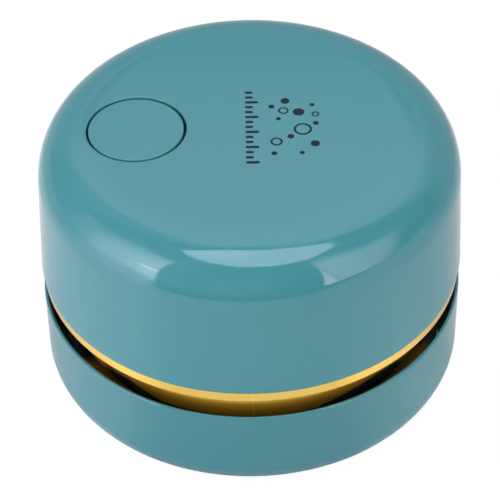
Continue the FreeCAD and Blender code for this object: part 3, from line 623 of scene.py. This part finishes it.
cap_loops.append(circle(40.47, 30.4))
cap_loops += turned([tuple(p) for p in inner_wall])
cap_loops += grid_loops(BX, 11.3 + 0.4, float(inner_wall[-1][0]) - 0.4, 30, inner_crown)[::-1]
for k in range(5):
    a = math.radians(22.5 * k)
    cap_loops.append(ring_at(BX, 11.3 + 0.4 * (1 - math.sin(a)), 0.4 * (1 - math.cos(a)), inner_crown))
cap_loops += [circle(11.3, 55.4, BX), circle(11.3, 54.65, BX), circle(11.15, 54.5, BX)]
parts = [(cap_loops, "ring")]
for a in (0, 90, 180, 270):
    parts.append(box_part(37.4, 40.9, -0.7, 0.7, 30.5, 49.0, 0.2, a))
cap = loops_to_object("cap_shell", parts, M_TEAL)
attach(cap, "cap")
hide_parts("top_shell")

# ------------------------------------------------------------------ power button
EDGE = 0.26
b = []
for f in np.linspace(0.02, 0.93, 16):
    b.append(ring_at(BX, (BR - EDGE) * f, 0.0, crown))
b.append(ring_at(BX, BR - EDGE - 0.1, 0.0, crown))
for k in range(7):
    a = math.radians(15 * k)
    b.append(ring_at(BX, BR - EDGE + EDGE * math.sin(a), EDGE * (1 - math.cos(a)), crown))
b += [circle(BR, 59.2, BX), circle(BR, 57.0, BX)]
b += turned([(BR, 54.55), (BR + 0.06, 54.36), (BR + 0.25, 54.3), (11.25, 54.3), (11.45, 54.22), (11.5, 54.05), (11.5, 53.55), (11.42, 53.37), (11.25, 53.3),
             (8.25, 53.3), (8.07, 53.37), (8.0, 53.55), (8.0, 57.9), (7.9, 58.2), (7.6, 58.3), (2.6, 58.3), (2.3, 58.2), (2.2, 57.9),
             (2.2, 54.2), (2.14, 54.05), (2.0, 54.0), (0.6, 54.0)], BX)
button = loops_to_object("power_button_cap", [([lp + np.array([-0.05, -0.13, 0.0]) for lp in b], "caps")], M_TEAL)   # sits a touch off centre in its well
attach(button, "button")
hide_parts("power_button")

# ------------------------------------------------------------------ gold trim ring
gp = corners([(37.0, 26.49, 0.1), (42.17, 26.49, 0.11), (42.21, 28.78, 0.11), (37.0, 28.78, 0.1)], 8)
ring = loops_to_object("gold_trim", [(turned(gp, n=512), "ring")], M_GOLD)
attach(ring, "motor_unit")
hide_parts("gold_trim_ring")
wp = corners([(37.0, 17.6, 0.05), (37.6, 17.6, 0.15), (37.6, 26.5, 0.0), (37.0, 26.5, 0.0)], 5)
wall = loops_to_object("recess_wall_ring", [(turned(wp, n=512), "ring")], M_RECESS)
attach(wall, "motor_unit")
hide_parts("recess_wall")

# ------------------------------------------------------------------ dust cup
cp = corners([(36.0, 2.0, 0.25), (42.16, 2.0, 5.9), (42.43, 22.05, 0.38), (41.75, 22.05, 0.30), (41.75, 21.7, 0.0), (41.2, 20.2, 0.6),
              (40.95, 7.0, 0.6), (9.0, 7.0, 0.0), (9.0, 5.2, 0.15), (36.0, 5.2, 0.4)], 14, 0.4)
parts = [(turned(cp), "ring")]


def sector_part(ri, ro, z0, z1, mid, half, bev=0.25):
    """Lug between two radii, with rounded edges."""
    sec = corners([(ri, z0, bev), (ro, z0, 0.0), (ro, z1, 0.0), (ri, z1, bev)], 4)
    out = []
    for a in np.linspace(mid - half, mid + half, 17):
        c, s = math.cos(math.radians(a)), math.sin(math.radians(a))
        out.append(np.array([(r * c, r * s, z) for r, z in sec]))
    return (out, "caps")


def post(cx, cy, r, z0, z1, hole=0.0, bev=0.25, n=40):
    if hole:
        prof = corners([(hole, z0, 0.0), (r, z0, 0.0), (r, z1, bev), (hole, z1, bev * 0.6)], 4)
        return (turned(prof, cx, cy, n), "ring")
    prof = [(r, z0)] + [(r - bev + bev * math.cos(a), z1 - bev + bev * math.sin(a)) for a in np.linspace(0, math.pi / 2, 5)] + [(0.02, z1)]
    return (turned(prof, cx, cy, n), "caps")


for i in range(3):
    parts.append(sector_part(39.1, 41.4, 13.6, 15.2, 30 + 120 * i, 9.0))
cup = loops_to_object("dust_cup_shell", parts, M_TEAL_CUP_SHADED)
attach(cup, "dust_cup")
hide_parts("dust_cup", "cup_base")

collar = loops_to_object("inlet_collar_ring", [(turned(corners([(9.0, 7.0, 0.0), (10.9, 7.0, 0.0), (10.4, 7.8, 0.5), (10.4, 10.6, 0.25), (9.0, 10.6, 0.25)], 6)), "ring")], M_TEAL)
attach(collar, "dust_cup")
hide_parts("inlet_collar")
parts = []
for i in range(3):
    a = math.radians(120 * i)
    parts.append(post(20 * math.cos(a), 20 * math.sin(a), 2.7, 7.0, 10.8))
boss = loops_to_object("screw_boss_posts", parts, M_TEAL)
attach(boss, "dust_cup")
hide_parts("screw_bosses")

# ------------------------------------------------------------------ bristles: bundles of filaments
rng = random.Random(7)
verts, faces = [], []
for i in range(54):
    a = 2 * math.pi * i / 54
    cx, cy = 33.9 * math.cos(a), 33.9 * math.sin(a)
    for j in range(46):
        rr = 0.72 * math.sqrt((j + 0.5) / 46)
        th = j * 2.39996 + i
        bx_, by_ = cx + rr * math.cos(th), cy + rr * math.sin(th)
        spread = 1.42 + rng.uniform(-0.05, 0.06)
        tx_, ty_ = cx + rr * spread * math.cos(th) + rng.uniform(-0.05, 0.05), cy + rr * spread * math.sin(th) + rng.uniform(-0.05, 0.05)
        tip = 0.32 + rng.uniform(0.0, 0.22)
        base = len(verts)
        levels = [(3.2, 0.0, 0.055), (2.2, 0.28, 0.055), (1.2, 0.66, 0.052), (tip, 1.0, 0.034)]
        for z, f, r in levels:
            px, py = bx_ + (tx_ - bx_) * f, by_ + (ty_ - by_) * f
            for k in range(5):
                b_ = 2 * math.pi * k / 5
                verts.append(((px + r * math.cos(b_)) * MM, (py + r * math.sin(b_)) * MM, z * MM))
        for q in range(3):
            for k in range(5):
                k1 = (k + 1) % 5
                faces.append((base + q * 5 + k, base + q * 5 + k1, base + (q + 1) * 5 + k1, base + (q + 1) * 5 + k))
        faces.append(tuple(base + k for k in range(5)))
        faces.append(tuple(base + 15 + k for k in (4, 3, 2, 1, 0)))
me = bpy.data.meshes.new("bristle_tufts")
me.from_pydata(verts, [], faces)
bm = bmesh.new(); bm.from_mesh(me); bmesh.ops.recalc_face_normals(bm, faces=bm.faces); bm.to_mesh(me); bm.free()
me.shade_smooth()
me.set_sharp_from_angle(angle=math.radians(70))
bristles = bpy.data.objects.new("bristle_tufts", me)
bpy.context.scene.collection.objects.link(bristles)
me.materials.append(M_NYLON)
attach(bristles, "dust_cup")
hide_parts("brush_bristles")


# ------------------------------------------------------------------ coil springs
def coil(name, start, axis, length, r0, r1, turns, wire, material, steps=40, side=10, dead=0.75):
    """Closed wire helix, from radius r0 to r1 along axis, with flat end turns."""
    ax = Vector(axis).normalized()
    u = ax.orthogonal().normalized()
    v = ax.cross(u)
    total = int(turns * steps)
    pts = []
    for k in range(total + 1):
        f = k / total
        turn = turns * f
        live = max(0.0, min(1.0, (turn - dead) / (turns - 2 * dead)))
        r = r0 + (r1 - r0) * f
        h = wire * 0.5 + min(turn, dead) / dead * wire * 0.5 + live * (length - 3 * wire * 0.5 - wire * 0.5) + (max(0.0, turn - (turns - dead)) / dead) * wire * 0.0
        a = 2 * math.pi * turn
        pts.append(Vector(start) + u * (r * math.cos(a)) + v * (r * math.sin(a)) + ax * h)
    loops = []
    for k, p in enumerate(pts):
        d = (pts[min(k + 1, total)] - pts[max(k - 1, 0)]).normalized()
        s = d.cross(ax).normalized()
        t = s.cross(d)
        loops.append(np.array([list(p + s * (wire / 2 * math.cos(2 * math.pi * j / side)) + t * (wire / 2 * math.sin(2 * math.pi * j / side))) for j in range(side)]))
    return loops_to_object(name, [(loops, "caps")], material, 60)


sw_spring = coil("switch_return_spring", (BX, 0, 48.7), (0, 0, 1), 3.9, 2.5, 2.5, 5.5, 0.34, M_NICKEL)
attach(sw_spring, "motor_unit")
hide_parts("switch_spring")
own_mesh(sw_spring)
gap = 2 * 26.7 - 0.05 - 1.2 - 49.3
for side, sign, name in ((1, -1, "cell_spring_left"), (-1, 1, "cell_spring_right")):
    sp = coil(name, (sign * 26.68, side * 21.3, 39.0), (-sign, 0, 0), gap - 0.08, 3.9, 2.6, 3.6, 0.45, M_NICKEL)
    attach(sp, "motor_unit")
    if side == 1:
        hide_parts("battery_springs")

# ------------------------------------------------------------------ generic marks on the crown
INK = Mat("pad_print_charcoal")
INK.set(Base_Color=INK.mix(INK.noise(900.0), (0.010, 0.019, 0.023, 1.0), (0.016, 0.027, 0.032, 1.0)), IOR=1.22)
INK.set(Roughness=INK.span(INK.noise(300.0), 0.3, 0.7, 0.42, 0.52))
INK = INK.m
THICK = 0.012


def film(outer, inner=None):
    """A printed film on the crown: a closed plate between two outlines, or a filled outline."""
    def lift(p, dz):
        p = np.asarray(p, float)
        return np.stack([p[:, 0], p[:, 1], crown(np.hypot(p[:, 0], p[:, 1])) + dz], 1)
    o = np.asarray(outer, float)
    if inner is None:
        c = o.mean(0)
        loops = [lift(o, -0.01), lift(o, THICK * 0.7), lift(c + (o - c) * 0.985, THICK)]
        loops += [lift(c + (o - c) * f, THICK) for f in (0.7, 0.35)]
        return (loops, "caps")
    i = np.asarray(inner, float)
    m = (o + i) / 2
    return ([lift(o, -0.01), lift(o, THICK * 0.8), lift(m, THICK), lift(i, THICK * 0.8), lift(i, -0.01)], "ring")


def dot_outline(x, y, r, n=40):
    return [(x + r * math.cos(2 * math.pi * k / n), y + r * math.sin(2 * math.pi * k / n)) for k in range(n)]


def dash_outline(x, y, half_x, half_y):
    """Rounded bar along X or Y."""
    r = min(half_x, half_y)
    ex, ey = half_x - r, half_y - r
    pts = []
    for cx, cy, a0 in ((ex, ey, 0), (-ex, ey, 90), (-ex, -ey, 180), (ex, -ey, 270)):
        for k in range(9):
            a = math.radians(a0 + 90 * k / 8)
            pts.append((x + cx + r * math.cos(a), y + cy + r * math.sin(a)))
    return pts


marks = []
for k in range(15):
    y = -11.0 + 1.53 * k
    half = (1.35, 0.8, 0.8)[k % 3]
    marks.append(film(dash_outline(-0.7 + half + 0.05, y, half, 0.37)))
for x, y, r in ((4.6, 5.9, 0.62), (7.3, 7.6, 0.9), (9.9, 4.1, 1.15), (5.9, 2.1, 0.5), (12.6, 6.3, 0.52), (8.2, -3.4, 0.68), (12.9, -5.6, 0.92), (4.9, -8.4, 0.58), (10.3, -8.3, 0.5), (13.2, 0.6, 0.58)):
    marks.append(film(dot_outline(x, y, r)))
for x, y, r, w in ((6.9, 4.6, 1.05, 0.36), (10.6, -1.2, 1.8, 0.46), (5.4, -4.9, 1.2, 0.4), (13.2, 3.4, 0.78, 0.32)):
    marks.append(film(dot_outline(x, y, r), dot_outline(x, y, r - w)))
prints = loops_to_object("crown_marks", marks, INK)
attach(prints, "cap")

# ------------------------------------------------------------------ floor, light and camera
floor_me = bpy.data.meshes.new("floor")
S = 4.0
floor_me.from_pydata([(-S, -S, -0.00002), (S, -S, -0.00002), (S, S, -0.00002), (-S, S, -0.00002)], [], [(0, 1, 2, 3)])
floor = bpy.data.objects.new("floor", floor_me)
bpy.context.scene.collection.objects.link(floor)
fm = bpy.data.materials.new("floor_pale")
fm.use_nodes = True
ft, fn = fm.node_tree, fm.node_tree.nodes
fn.clear()
out = fn.new("ShaderNodeOutputMaterial")
dif = fn.new("ShaderNodeBsdfDiffuse")
fco = fn.new("ShaderNodeTexCoord"); fxyz = fn.new("ShaderNodeSeparateXYZ"); ft.links.new(fco.outputs["Object"], fxyz.inputs[0])


def fmath(op, a, b_):
    nd = fn.new("ShaderNodeMath"); nd.operation = op
    for i_, v_ in enumerate((a, b_)):
        if hasattr(v_, "links"):
            ft.links.new(v_, nd.inputs[i_])
        else:
            nd.inputs[i_].default_value = v_
    return nd.outputs[0]


# the table top ends in front of the object, and is shaded towards the right
reach = fmath("ADD", fxyz.outputs[1], fmath("MULTIPLY", fxyz.outputs[0], 0.38))
reach = fmath("MAXIMUM", reach, fmath("SUBTRACT", fmath("SUBTRACT", fxyz.outputs[1], fxyz.outputs[0]), 0.24))
fr = fn.new("ShaderNodeMapRange"); fr.interpolation_type = "SMOOTHSTEP"
fr.inputs["From Min"].default_value, fr.inputs["From Max"].default_value = -0.275, -0.225
fr.inputs["To Min"].default_value, fr.inputs["To Max"].default_value = 0.06, 0.88
ft.links.new(reach, fr.inputs["Value"])
fs = fn.new("ShaderNodeMapRange"); fs.interpolation_type = "SMOOTHSTEP"
fs.inputs["From Min"].default_value, fs.inputs["From Max"].default_value = 0.02, 0.12
fs.inputs["To Min"].default_value, fs.inputs["To Max"].default_value = 1.0, 0.80
ft.links.new(fxyz.outputs[0], fs.inputs["Value"])
white = fn.new("ShaderNodeVectorMath"); white.operation = "SCALE"
paper = fn.new("ShaderNodeValToRGB")
paper.color_ramp.elements[0].position, paper.color_ramp.elements[0].color = 0.46, (0.98, 1.0, 1.0, 1.0)
paper.color_ramp.elements[1].position, paper.color_ramp.elements[1].color = 0.54, (1.0, 0.94, 0.88, 1.0)
ft.links.new(fmath("ADD", fxyz.outputs[1], 0.5), paper.inputs[0])
ft.links.new(paper.outputs[0], white.inputs[0])
# painted shadow: the table painted darker close round the object, for light that bounces off it
near = fmath("SQRT", fmath("ADD", fmath("MULTIPLY", fxyz.outputs[0], fxyz.outputs[0]), fmath("MULTIPLY", fxyz.outputs[1], fxyz.outputs[1])), 0.0)
contact_shade = fn.new("ShaderNodeMapRange"); contact_shade.interpolation_type = "SMOOTHSTEP"
contact_shade.inputs["From Min"].default_value, contact_shade.inputs["From Max"].default_value = 0.045, 0.100
contact_shade.inputs["To Min"].default_value, contact_shade.inputs["To Max"].default_value = 0.82, 1.0
ft.links.new(near, contact_shade.inputs["Value"])
ft.links.new(white.outputs[0], dif.inputs["Color"])


def fstep(v, lo, hi):
    nd = fn.new("ShaderNodeMapRange"); nd.interpolation_type = "SMOOTHSTEP"
    a, b_, ta, tb = (lo, hi, 0.0, 1.0) if lo < hi else (hi, lo, 1.0, 0.0)
    nd.inputs["From Min"].default_value, nd.inputs["From Max"].default_value = a, b_
    nd.inputs["To Min"].default_value, nd.inputs["To Max"].default_value = ta, tb
    ft.links.new(v, nd.inputs["Value"])
    return nd.outputs[0]


# light thrown on the table by the two side softboxes, stronger towards the left one
faz = fmath("MULTIPLY", fmath("ARCTAN2", fxyz.outputs[0], fmath("MULTIPLY", fxyz.outputs[1], -1.0)), 180.0 / math.pi)
fdist = fmath("SQRT", fmath("ADD", fmath("MULTIPLY", fxyz.outputs[0], fxyz.outputs[0]), fmath("MULTIPLY", fxyz.outputs[1], fxyz.outputs[1])), 0.0)
# painted shade: the table painted darker behind the object, for light that bounces off it
far_back = fmath("MULTIPLY", fstep(fdist, 0.095, 0.24), fstep(fxyz.outputs[1], 0.0, 0.04))
ft.links.new(fmath("MULTIPLY", fmath("MULTIPLY", fmath("MULTIPLY", fr.outputs[0], contact_shade.outputs[0]), fs.outputs[0]), fmath("SUBTRACT", 1.0, fmath("MULTIPLY", far_back, 0.45))), white.inputs["Scale"])
glow_l = fmath("MULTIPLY", fmath("MULTIPLY", fstep(faz, -46.0, -49.0), fstep(faz, -94.0, -66.0)), fmath("ADD", fmath("MULTIPLY", fstep(fdist, 0.09, 0.33), 0.95), 0.15))
glow_f = fmath("MULTIPLY", fmath("MULTIPLY", fmath("ADD", fmath("MULTIPLY", fstep(faz, 30.0, 42.0), fstep(faz, 84.0, 60.0)), fmath("MULTIPLY", fstep(faz, -30.0, -44.0), fstep(faz, -70.0, -44.0))), 0.24), fr.outputs[0])
# a light patch under the plate, so that the underside isn't lost in its own shadow in views from below
glow_u = fmath("MULTIPLY", fstep(fdist, 0.036, 0.029), 0.9)
gle = fn.new("ShaderNodeEmission"); gle.inputs["Color"].default_value = (0.97, 1.0, 1.04, 1.0)
ft.links.new(fmath("ADD", fmath("ADD", glow_l, glow_f), glow_u), gle.inputs["Strength"])
dif2 = fn.new("ShaderNodeBsdfDiffuse"); dif2.inputs["Color"].default_value = (0.04, 0.04, 0.04, 1)
em = fn.new("ShaderNodeEmission"); em.inputs["Color"].default_value = (1, 1, 1, 1); em.inputs["Strength"].default_value = 0.975
add = fn.new("ShaderNodeAddShader")
ft.links.new(dif2.outputs[0], add.inputs[0]); ft.links.new(em.outputs[0], add.inputs[1])
lp = fn.new("ShaderNodeLightPath")
mx = fn.new("ShaderNodeMixShader")
ft.links.new(lp.outputs["Is Camera Ray"], mx.inputs[0])
lit = fn.new("ShaderNodeAddShader")
ft.links.new(dif.outputs[0], lit.inputs[0]); ft.links.new(gle.outputs[0], lit.inputs[1])
ft.links.new(lit.outputs[0], mx.inputs[1]); ft.links.new(add.outputs[0], mx.inputs[2])
tr = fn.new("ShaderNodeBsdfTransparent")
geo = fn.new("ShaderNodeNewGeometry")
mb = fn.new("ShaderNodeMixShader")
ft.links.new(geo.outputs["Backfacing"], mb.inputs[0])
ft.links.new(mx.outputs[0], mb.inputs[1]); ft.links.new(tr.outputs[0], mb.inputs[2])
ft.links.new(mb.outputs[0], out.inputs[0])
floor_me.materials.append(fm)

# the studio: softboxes overhead, to the left and right front, a pale backdrop behind, dark in front
world = bpy.data.worlds.new("studio")
bpy.context.scene.world = world
world.use_nodes = True
wt, wn = world.node_tree, world.node_tree.nodes
wn.clear()


def wmath(op, *vals):
    nd = wn.new("ShaderNodeMath")
    nd.operation = op
    for i, v in enumerate(vals):
        if hasattr(v, "links"):
            wt.links.new(v, nd.inputs[i])
        else:
            nd.inputs[i].default_value = v
    return nd.outputs[0]


def wstep(v, lo, hi):
    """0 below lo, 1 above hi, smooth between; lo above hi turns it round."""
    nd = wn.new("ShaderNodeMapRange")
    nd.interpolation_type = "SMOOTHSTEP"
    a, b_, c, d = (lo, hi, 0.0, 1.0) if lo < hi else (hi, lo, 1.0, 0.0)
    nd.inputs["From Min"].default_value = a
    nd.inputs["From Max"].default_value = b_
    nd.inputs["To Min"].default_value = c
    nd.inputs["To Max"].default_value = d
    wt.links.new(v, nd.inputs["Value"])
    return nd.outputs[0]


def wprod(*vals):
    o = vals[0]
    for v in vals[1:]:
        o = wmath("MULTIPLY", o, v)
    return o


tc = wn.new("ShaderNodeTexCoord")
sep = wn.new("ShaderNodeSeparateXYZ")
wt.links.new(tc.outputs["Generated"], sep.inputs[0])
X, Y, Zc = sep.outputs
DEG = 180 / math.pi
az = wmath("MULTIPLY", wmath("ARCTAN2", X, wmath("MULTIPLY", Y, -1.0)), DEG)     # 0 in front, + to the right
absaz = wmath("ABSOLUTE", az)
el = wmath("MULTIPLY", wmath("ARCSINE", Zc), DEG)
# tilt from straight up, split into sideways and forward degrees
tilt = wmath("SUBTRACT", 90.0, el)
flat = wmath("SQRT", wmath("ADD", wmath("MULTIPLY", X, X), wmath("ADD", wmath("MULTIPLY", Y, Y), 1e-9)))
side_t = wmath("MULTIPLY", tilt, wmath("DIVIDE", X, flat))
fore_t = wmath("MULTIPLY", tilt, wmath("DIVIDE", wmath("MULTIPLY", Y, -1.0), flat))


def wramp(v, lo, hi, stops):
    """Piecewise level of v through the stops (value, level)."""
    nd = wn.new("ShaderNodeValToRGB")
    top = max(l for _, l in stops)
    e = nd.color_ramp.elements
    while len(e) < len(stops):
        e.new(0.5)
    for q, (a, l) in zip(e, sorted(stops)):
        q.position = (a - lo) / (hi - lo)
        q.color = (l / top, l / top, l / top, 1.0)
    mr = wn.new("ShaderNodeMapRange")
    mr.inputs["From Min"].default_value = lo
    mr.inputs["From Max"].default_value = hi
    wt.links.new(v, mr.inputs["Value"])
    wt.links.new(mr.outputs[0], nd.inputs[0])
    return wmath("MULTIPLY", nd.outputs[0], top)


def poly(u, v, planes, soft):
    """Inside of a convex outline: each plane (a, b, c) keeps a*u + b*v < c; the edge is soft degrees wide."""
    low = None
    for a, b_, c in planes:
        k = 1.0 / math.hypot(a, b_)
        d = wmath("SUBTRACT", c * k, wmath("ADD", wmath("MULTIPLY", u, a * k), wmath("MULTIPLY", v, b_ * k)))
        low = d if low is None else wmath("MINIMUM", low, d)
    return wstep(low, -soft, soft)


# overhead softbox, with clipped corners
top_box = poly(side_t, fore_t, [(-1, 0, 19.9), (0, 1, 27.9), (1, 0, 26.2), (0, -1, 5.2), (-0.642, -1, 8.5), (0.14, -1, 5.2), (1.43, -1, 30.5),
                                (1, 0.313, 28.2), (0.434, 1, 31.4), (-0.62, 1, 30.8), (-1.52, 1, 43.9)], 0.9)
# left softbox: sharp front edge, fading to the back; a brighter block with a hot tube near its front edge
left_edge = wmath("ADD", az, wmath("MULTIPLY", wmath("MINIMUM", el, 40.0), 0.04))
left_az = wramp(az, -125.0, -45.0, [(-120.0, 0.0), (-107.0, 0.20), (-100.0, 0.60), (-95.0, 0.92), (-90.0, 1.35), (-85.0, 2.30), (-80.0, 2.95), (-74.0, 3.15), (-62.0, 2.80), (-54.0, 2.90), (-46.0, 3.20)])
far_l = wstep(az, -60.0, -76.0)
top_l = wmath("ADD", wprod(wstep(el, 54.0, 45.0), wmath("SUBTRACT", 1.0, far_l)),
              wprod(wstep(wmath("SUBTRACT", el, wmath("MULTIPLY", wmath("ADD", az, 58.0), 0.35)), 66.0, 38.0), far_l))
left = wprod(wstep(left_edge, -46.5, -47.8), left_az, top_l, wmath("SUBTRACT", 1.0, wprod(wstep(el, 12.0, 0.0), 0.16)))
left_hot = wprod(wstep(left_edge, -46.5, -47.8), wstep(az, -80.0, -53.0), wstep(el, 0.0, 12.0), wstep(el, 47.0, 30.0))
tube_el = wmath("ADD", el, wmath("MULTIPLY", wmath("ADD", az, 53.0), 0.07))
left_tube = wprod(wstep(left_edge, -47.0, -48.2), wstep(az, -59.2, -57.6), wstep(tube_el, 19.2, 20.4), wstep(tube_el, 24.4, 23.0))
left_block = wprod(wstep(left_edge, -46.5, -47.8), wstep(az, -57.4, -56.0), wstep(el, -8.0, -3.0), wstep(el, 22.0, 18.5))
top_hot = wprod(top_box, wstep(fore_t, 12.5, 8.0), wstep(side_t, 3.0, -4.0))
spark = wprod(wstep(az, -105.5, -102.0), wstep(az, -96.5, -100.0), wstep(el, 26.0, 30.0), wstep(el, 37.0, 33.0))
# right softbox, and the bright strip beside its front edge
right_edge = wmath("SUBTRACT", az, wmath("MULTIPLY", wmath("ADD", el, 2.0), 0.075))
right = wprod(wstep(right_edge, 33.9, 35.1), poly(az, el, [(0, 1, 51.0), (0.69, 1, 89.0), (1, -0.415, 70.5)], 9.0), wstep(el, -4.6, -2.2),
              wmath("SUBTRACT", 1.0, wprod(wstep(az, 46.0, 70.0), 0.26)))
strip = wprod(wstep(right_edge, 33.9, 35.1), wstep(wmath("ADD", az, wmath("MULTIPLY", wmath("ADD", el, 2.0), 0.115)), 42.0, 41.0), wstep(el, -4.0, -1.8), wstep(el, 34.5, 31.5))
right_slope = wmath("ADD", az, wmath("MULTIPLY", wmath("ADD", el, 2.0), 0.115))
right_line = wprod(wstep(right_slope, 41.0, 41.6), wstep(right_slope, 43.4, 42.6), wstep(el, 1.0, 5.0), wstep(el, 33.0, 27.0))
# backdrop and ceiling behind
back = wstep(absaz, 104.0, 122.0)
back_level = wramp(el, -10.0, 90.0, [(-4.0, 0.0), (2.0, 0.34), (18.0, 0.28), (25.0, 0.36), (30.0, 0.58), (40.0, 1.00), (50.0, 1.16), (58.0, 1.24), (72.0, 1.30), (75.0, 1.25), (77.5, 0.75), (80.0, 0.22), (84.0, 0.10)])
back_mid = wramp(el, 25.0, 46.0, [(28.0, 0.0), (31.0, 0.36), (35.5, 0.54), (37.0, 0.42), (38.0, 0.27), (39.0, 0.22), (42.0, 0.10), (44.5, 0.0)])
back_level = wmath("SUBTRACT", back_level, wprod(back_mid, wstep(absaz, 148.0, 166.0)))
back_left_dark = wprod(wstep(az, -100.0, -112.0), wstep(az, -144.0, -134.0))
back_level = wmath("MULTIPLY", back_level, wmath("SUBTRACT", 1.0, wprod(back_left_dark, 0.62)))
back = wprod(back, back_level)
# dim things in front of the set
dome = wmath("SUBTRACT", wmath("ADD", el, wmath("MULTIPLY", wmath("POWER", wmath("ABSOLUTE", wmath("ADD", az, 2.0)), 2.0), 0.02)), 33.5)
front_mid = wprod(wstep(az, -29.0, -22.0), wstep(az, 14.0, 6.0), wstep(dome, 1.0, -1.0))
front_rim = wprod(wstep(az, -30.0, -26.0), wstep(az, 23.0, 19.0), wstep(dome, 1.0, -0.6), wstep(dome, -5.2, -2.6))
front_left = wprod(wstep(az, -50.0, -47.0), wstep(az, -28.0, -36.0))
front_right = wprod(wstep(az, 14.0, 18.0), wstep(az, 36.0, 33.0), wstep(el, 40.0, 30.0))
below = wstep(el, -4.0, -10.0)
NEUTRAL, COOL, BLUISH, WARM = (1.0, 1.0, 1.0), (0.97, 1.00, 1.14), (0.97, 1.09, 1.29), (1.01, 1.03, 1.08)
rad = wn.new("ShaderNodeCombineXYZ").outputs[0]
for q in rad.node.inputs:
    q.default_value = 0.10
for w_, k_, tint in ((top_box, 3.75, BLUISH), (left, 1.0, COOL), (left_hot, 2.0, COOL), (left_tube, 4.2, NEUTRAL), (left_block, 0.9, COOL), (top_hot, 0.8, COOL), (right_line, -0.9, NEUTRAL), (spark, 0.8, NEUTRAL),
                     (right, 2.8, WARM), (strip, 1.9, COOL), (back, 1.0, (1.0, 0.99, 1.05)), (front_mid, 0.24, NEUTRAL), (front_rim, 0.28, NEUTRAL),
                     (front_left, 0.3, NEUTRAL), (front_right, -0.09, NEUTRAL), (below, 0.9, NEUTRAL)):
    sc_ = wn.new("ShaderNodeVectorMath"); sc_.operation = "SCALE"
    sc_.inputs[0].default_value = tuple(k_ * c_ for c_ in tint)
    wt.links.new(w_, sc_.inputs["Scale"])
    ad_ = wn.new("ShaderNodeVectorMath"); ad_.operation = "ADD"
    wt.links.new(rad, ad_.inputs[0]); wt.links.new(sc_.outputs[0], ad_.inputs[1])
    rad = ad_.outputs[0]
bgl = wn.new("ShaderNodeBackground")
wt.links.new(rad, bgl.inputs["Color"])
bgl.inputs["Strength"].default_value = 1.0
bgc = wn.new("ShaderNodeBackground")
bgc.inputs["Color"].default_value = (1, 1, 1, 1)
bgc.inputs["Strength"].default_value = 1.0
wlp = wn.new("ShaderNodeLightPath")
wmx = wn.new("ShaderNodeMixShader")
wt.links.new(wlp.outputs["Is Camera Ray"], wmx.inputs[0])
wt.links.new(bgl.outputs[0], wmx.inputs[1])
wt.links.new(bgc.outputs[0], wmx.inputs[2])
wo = wn.new("ShaderNodeOutputWorld")
wt.links.new(wmx.outputs[0], wo.inputs[0])
world.cycles.sampling_method = "MANUAL"
world.cycles.sample_map_resolution = 2048

bpy.context.scene.view_settings.view_transform = "Standard"
bpy.context.scene.view_settings.look = "None"
bpy.context.scene.view_settings.exposure = 0.0
bpy.context.scene.view_settings.gamma = 1.0

E = math.radians(42.07)
ROLL = 0.02
back_v = Vector((0, -math.cos(E), math.sin(E)))
right_v = Vector((1, 0, 0))
up_v = Vector((0, math.sin(E), math.cos(E)))
r2 = right_v * math.cos(ROLL) - up_v * math.sin(ROLL)
u2 = right_v * math.sin(ROLL) + up_v * math.cos(ROLL)
cam_d = bpy.data.cameras.new("camera")
cam_d.sensor_width = 36.0
cam_d.lens = 194.33
cam_d.clip_start, cam_d.clip_end = 0.05, 20.0
cam = bpy.data.objects.new("camera", cam_d)
bpy.context.scene.collection.objects.link(cam)
m3 = Matrix((r2, u2, back_v)).transposed()
cam.matrix_world = Matrix.Translation((Vector((-0.20, 0, 27.72)) + back_v * 550.0) * MM) @ m3.to_4x4()
bpy.context.scene.camera = cam
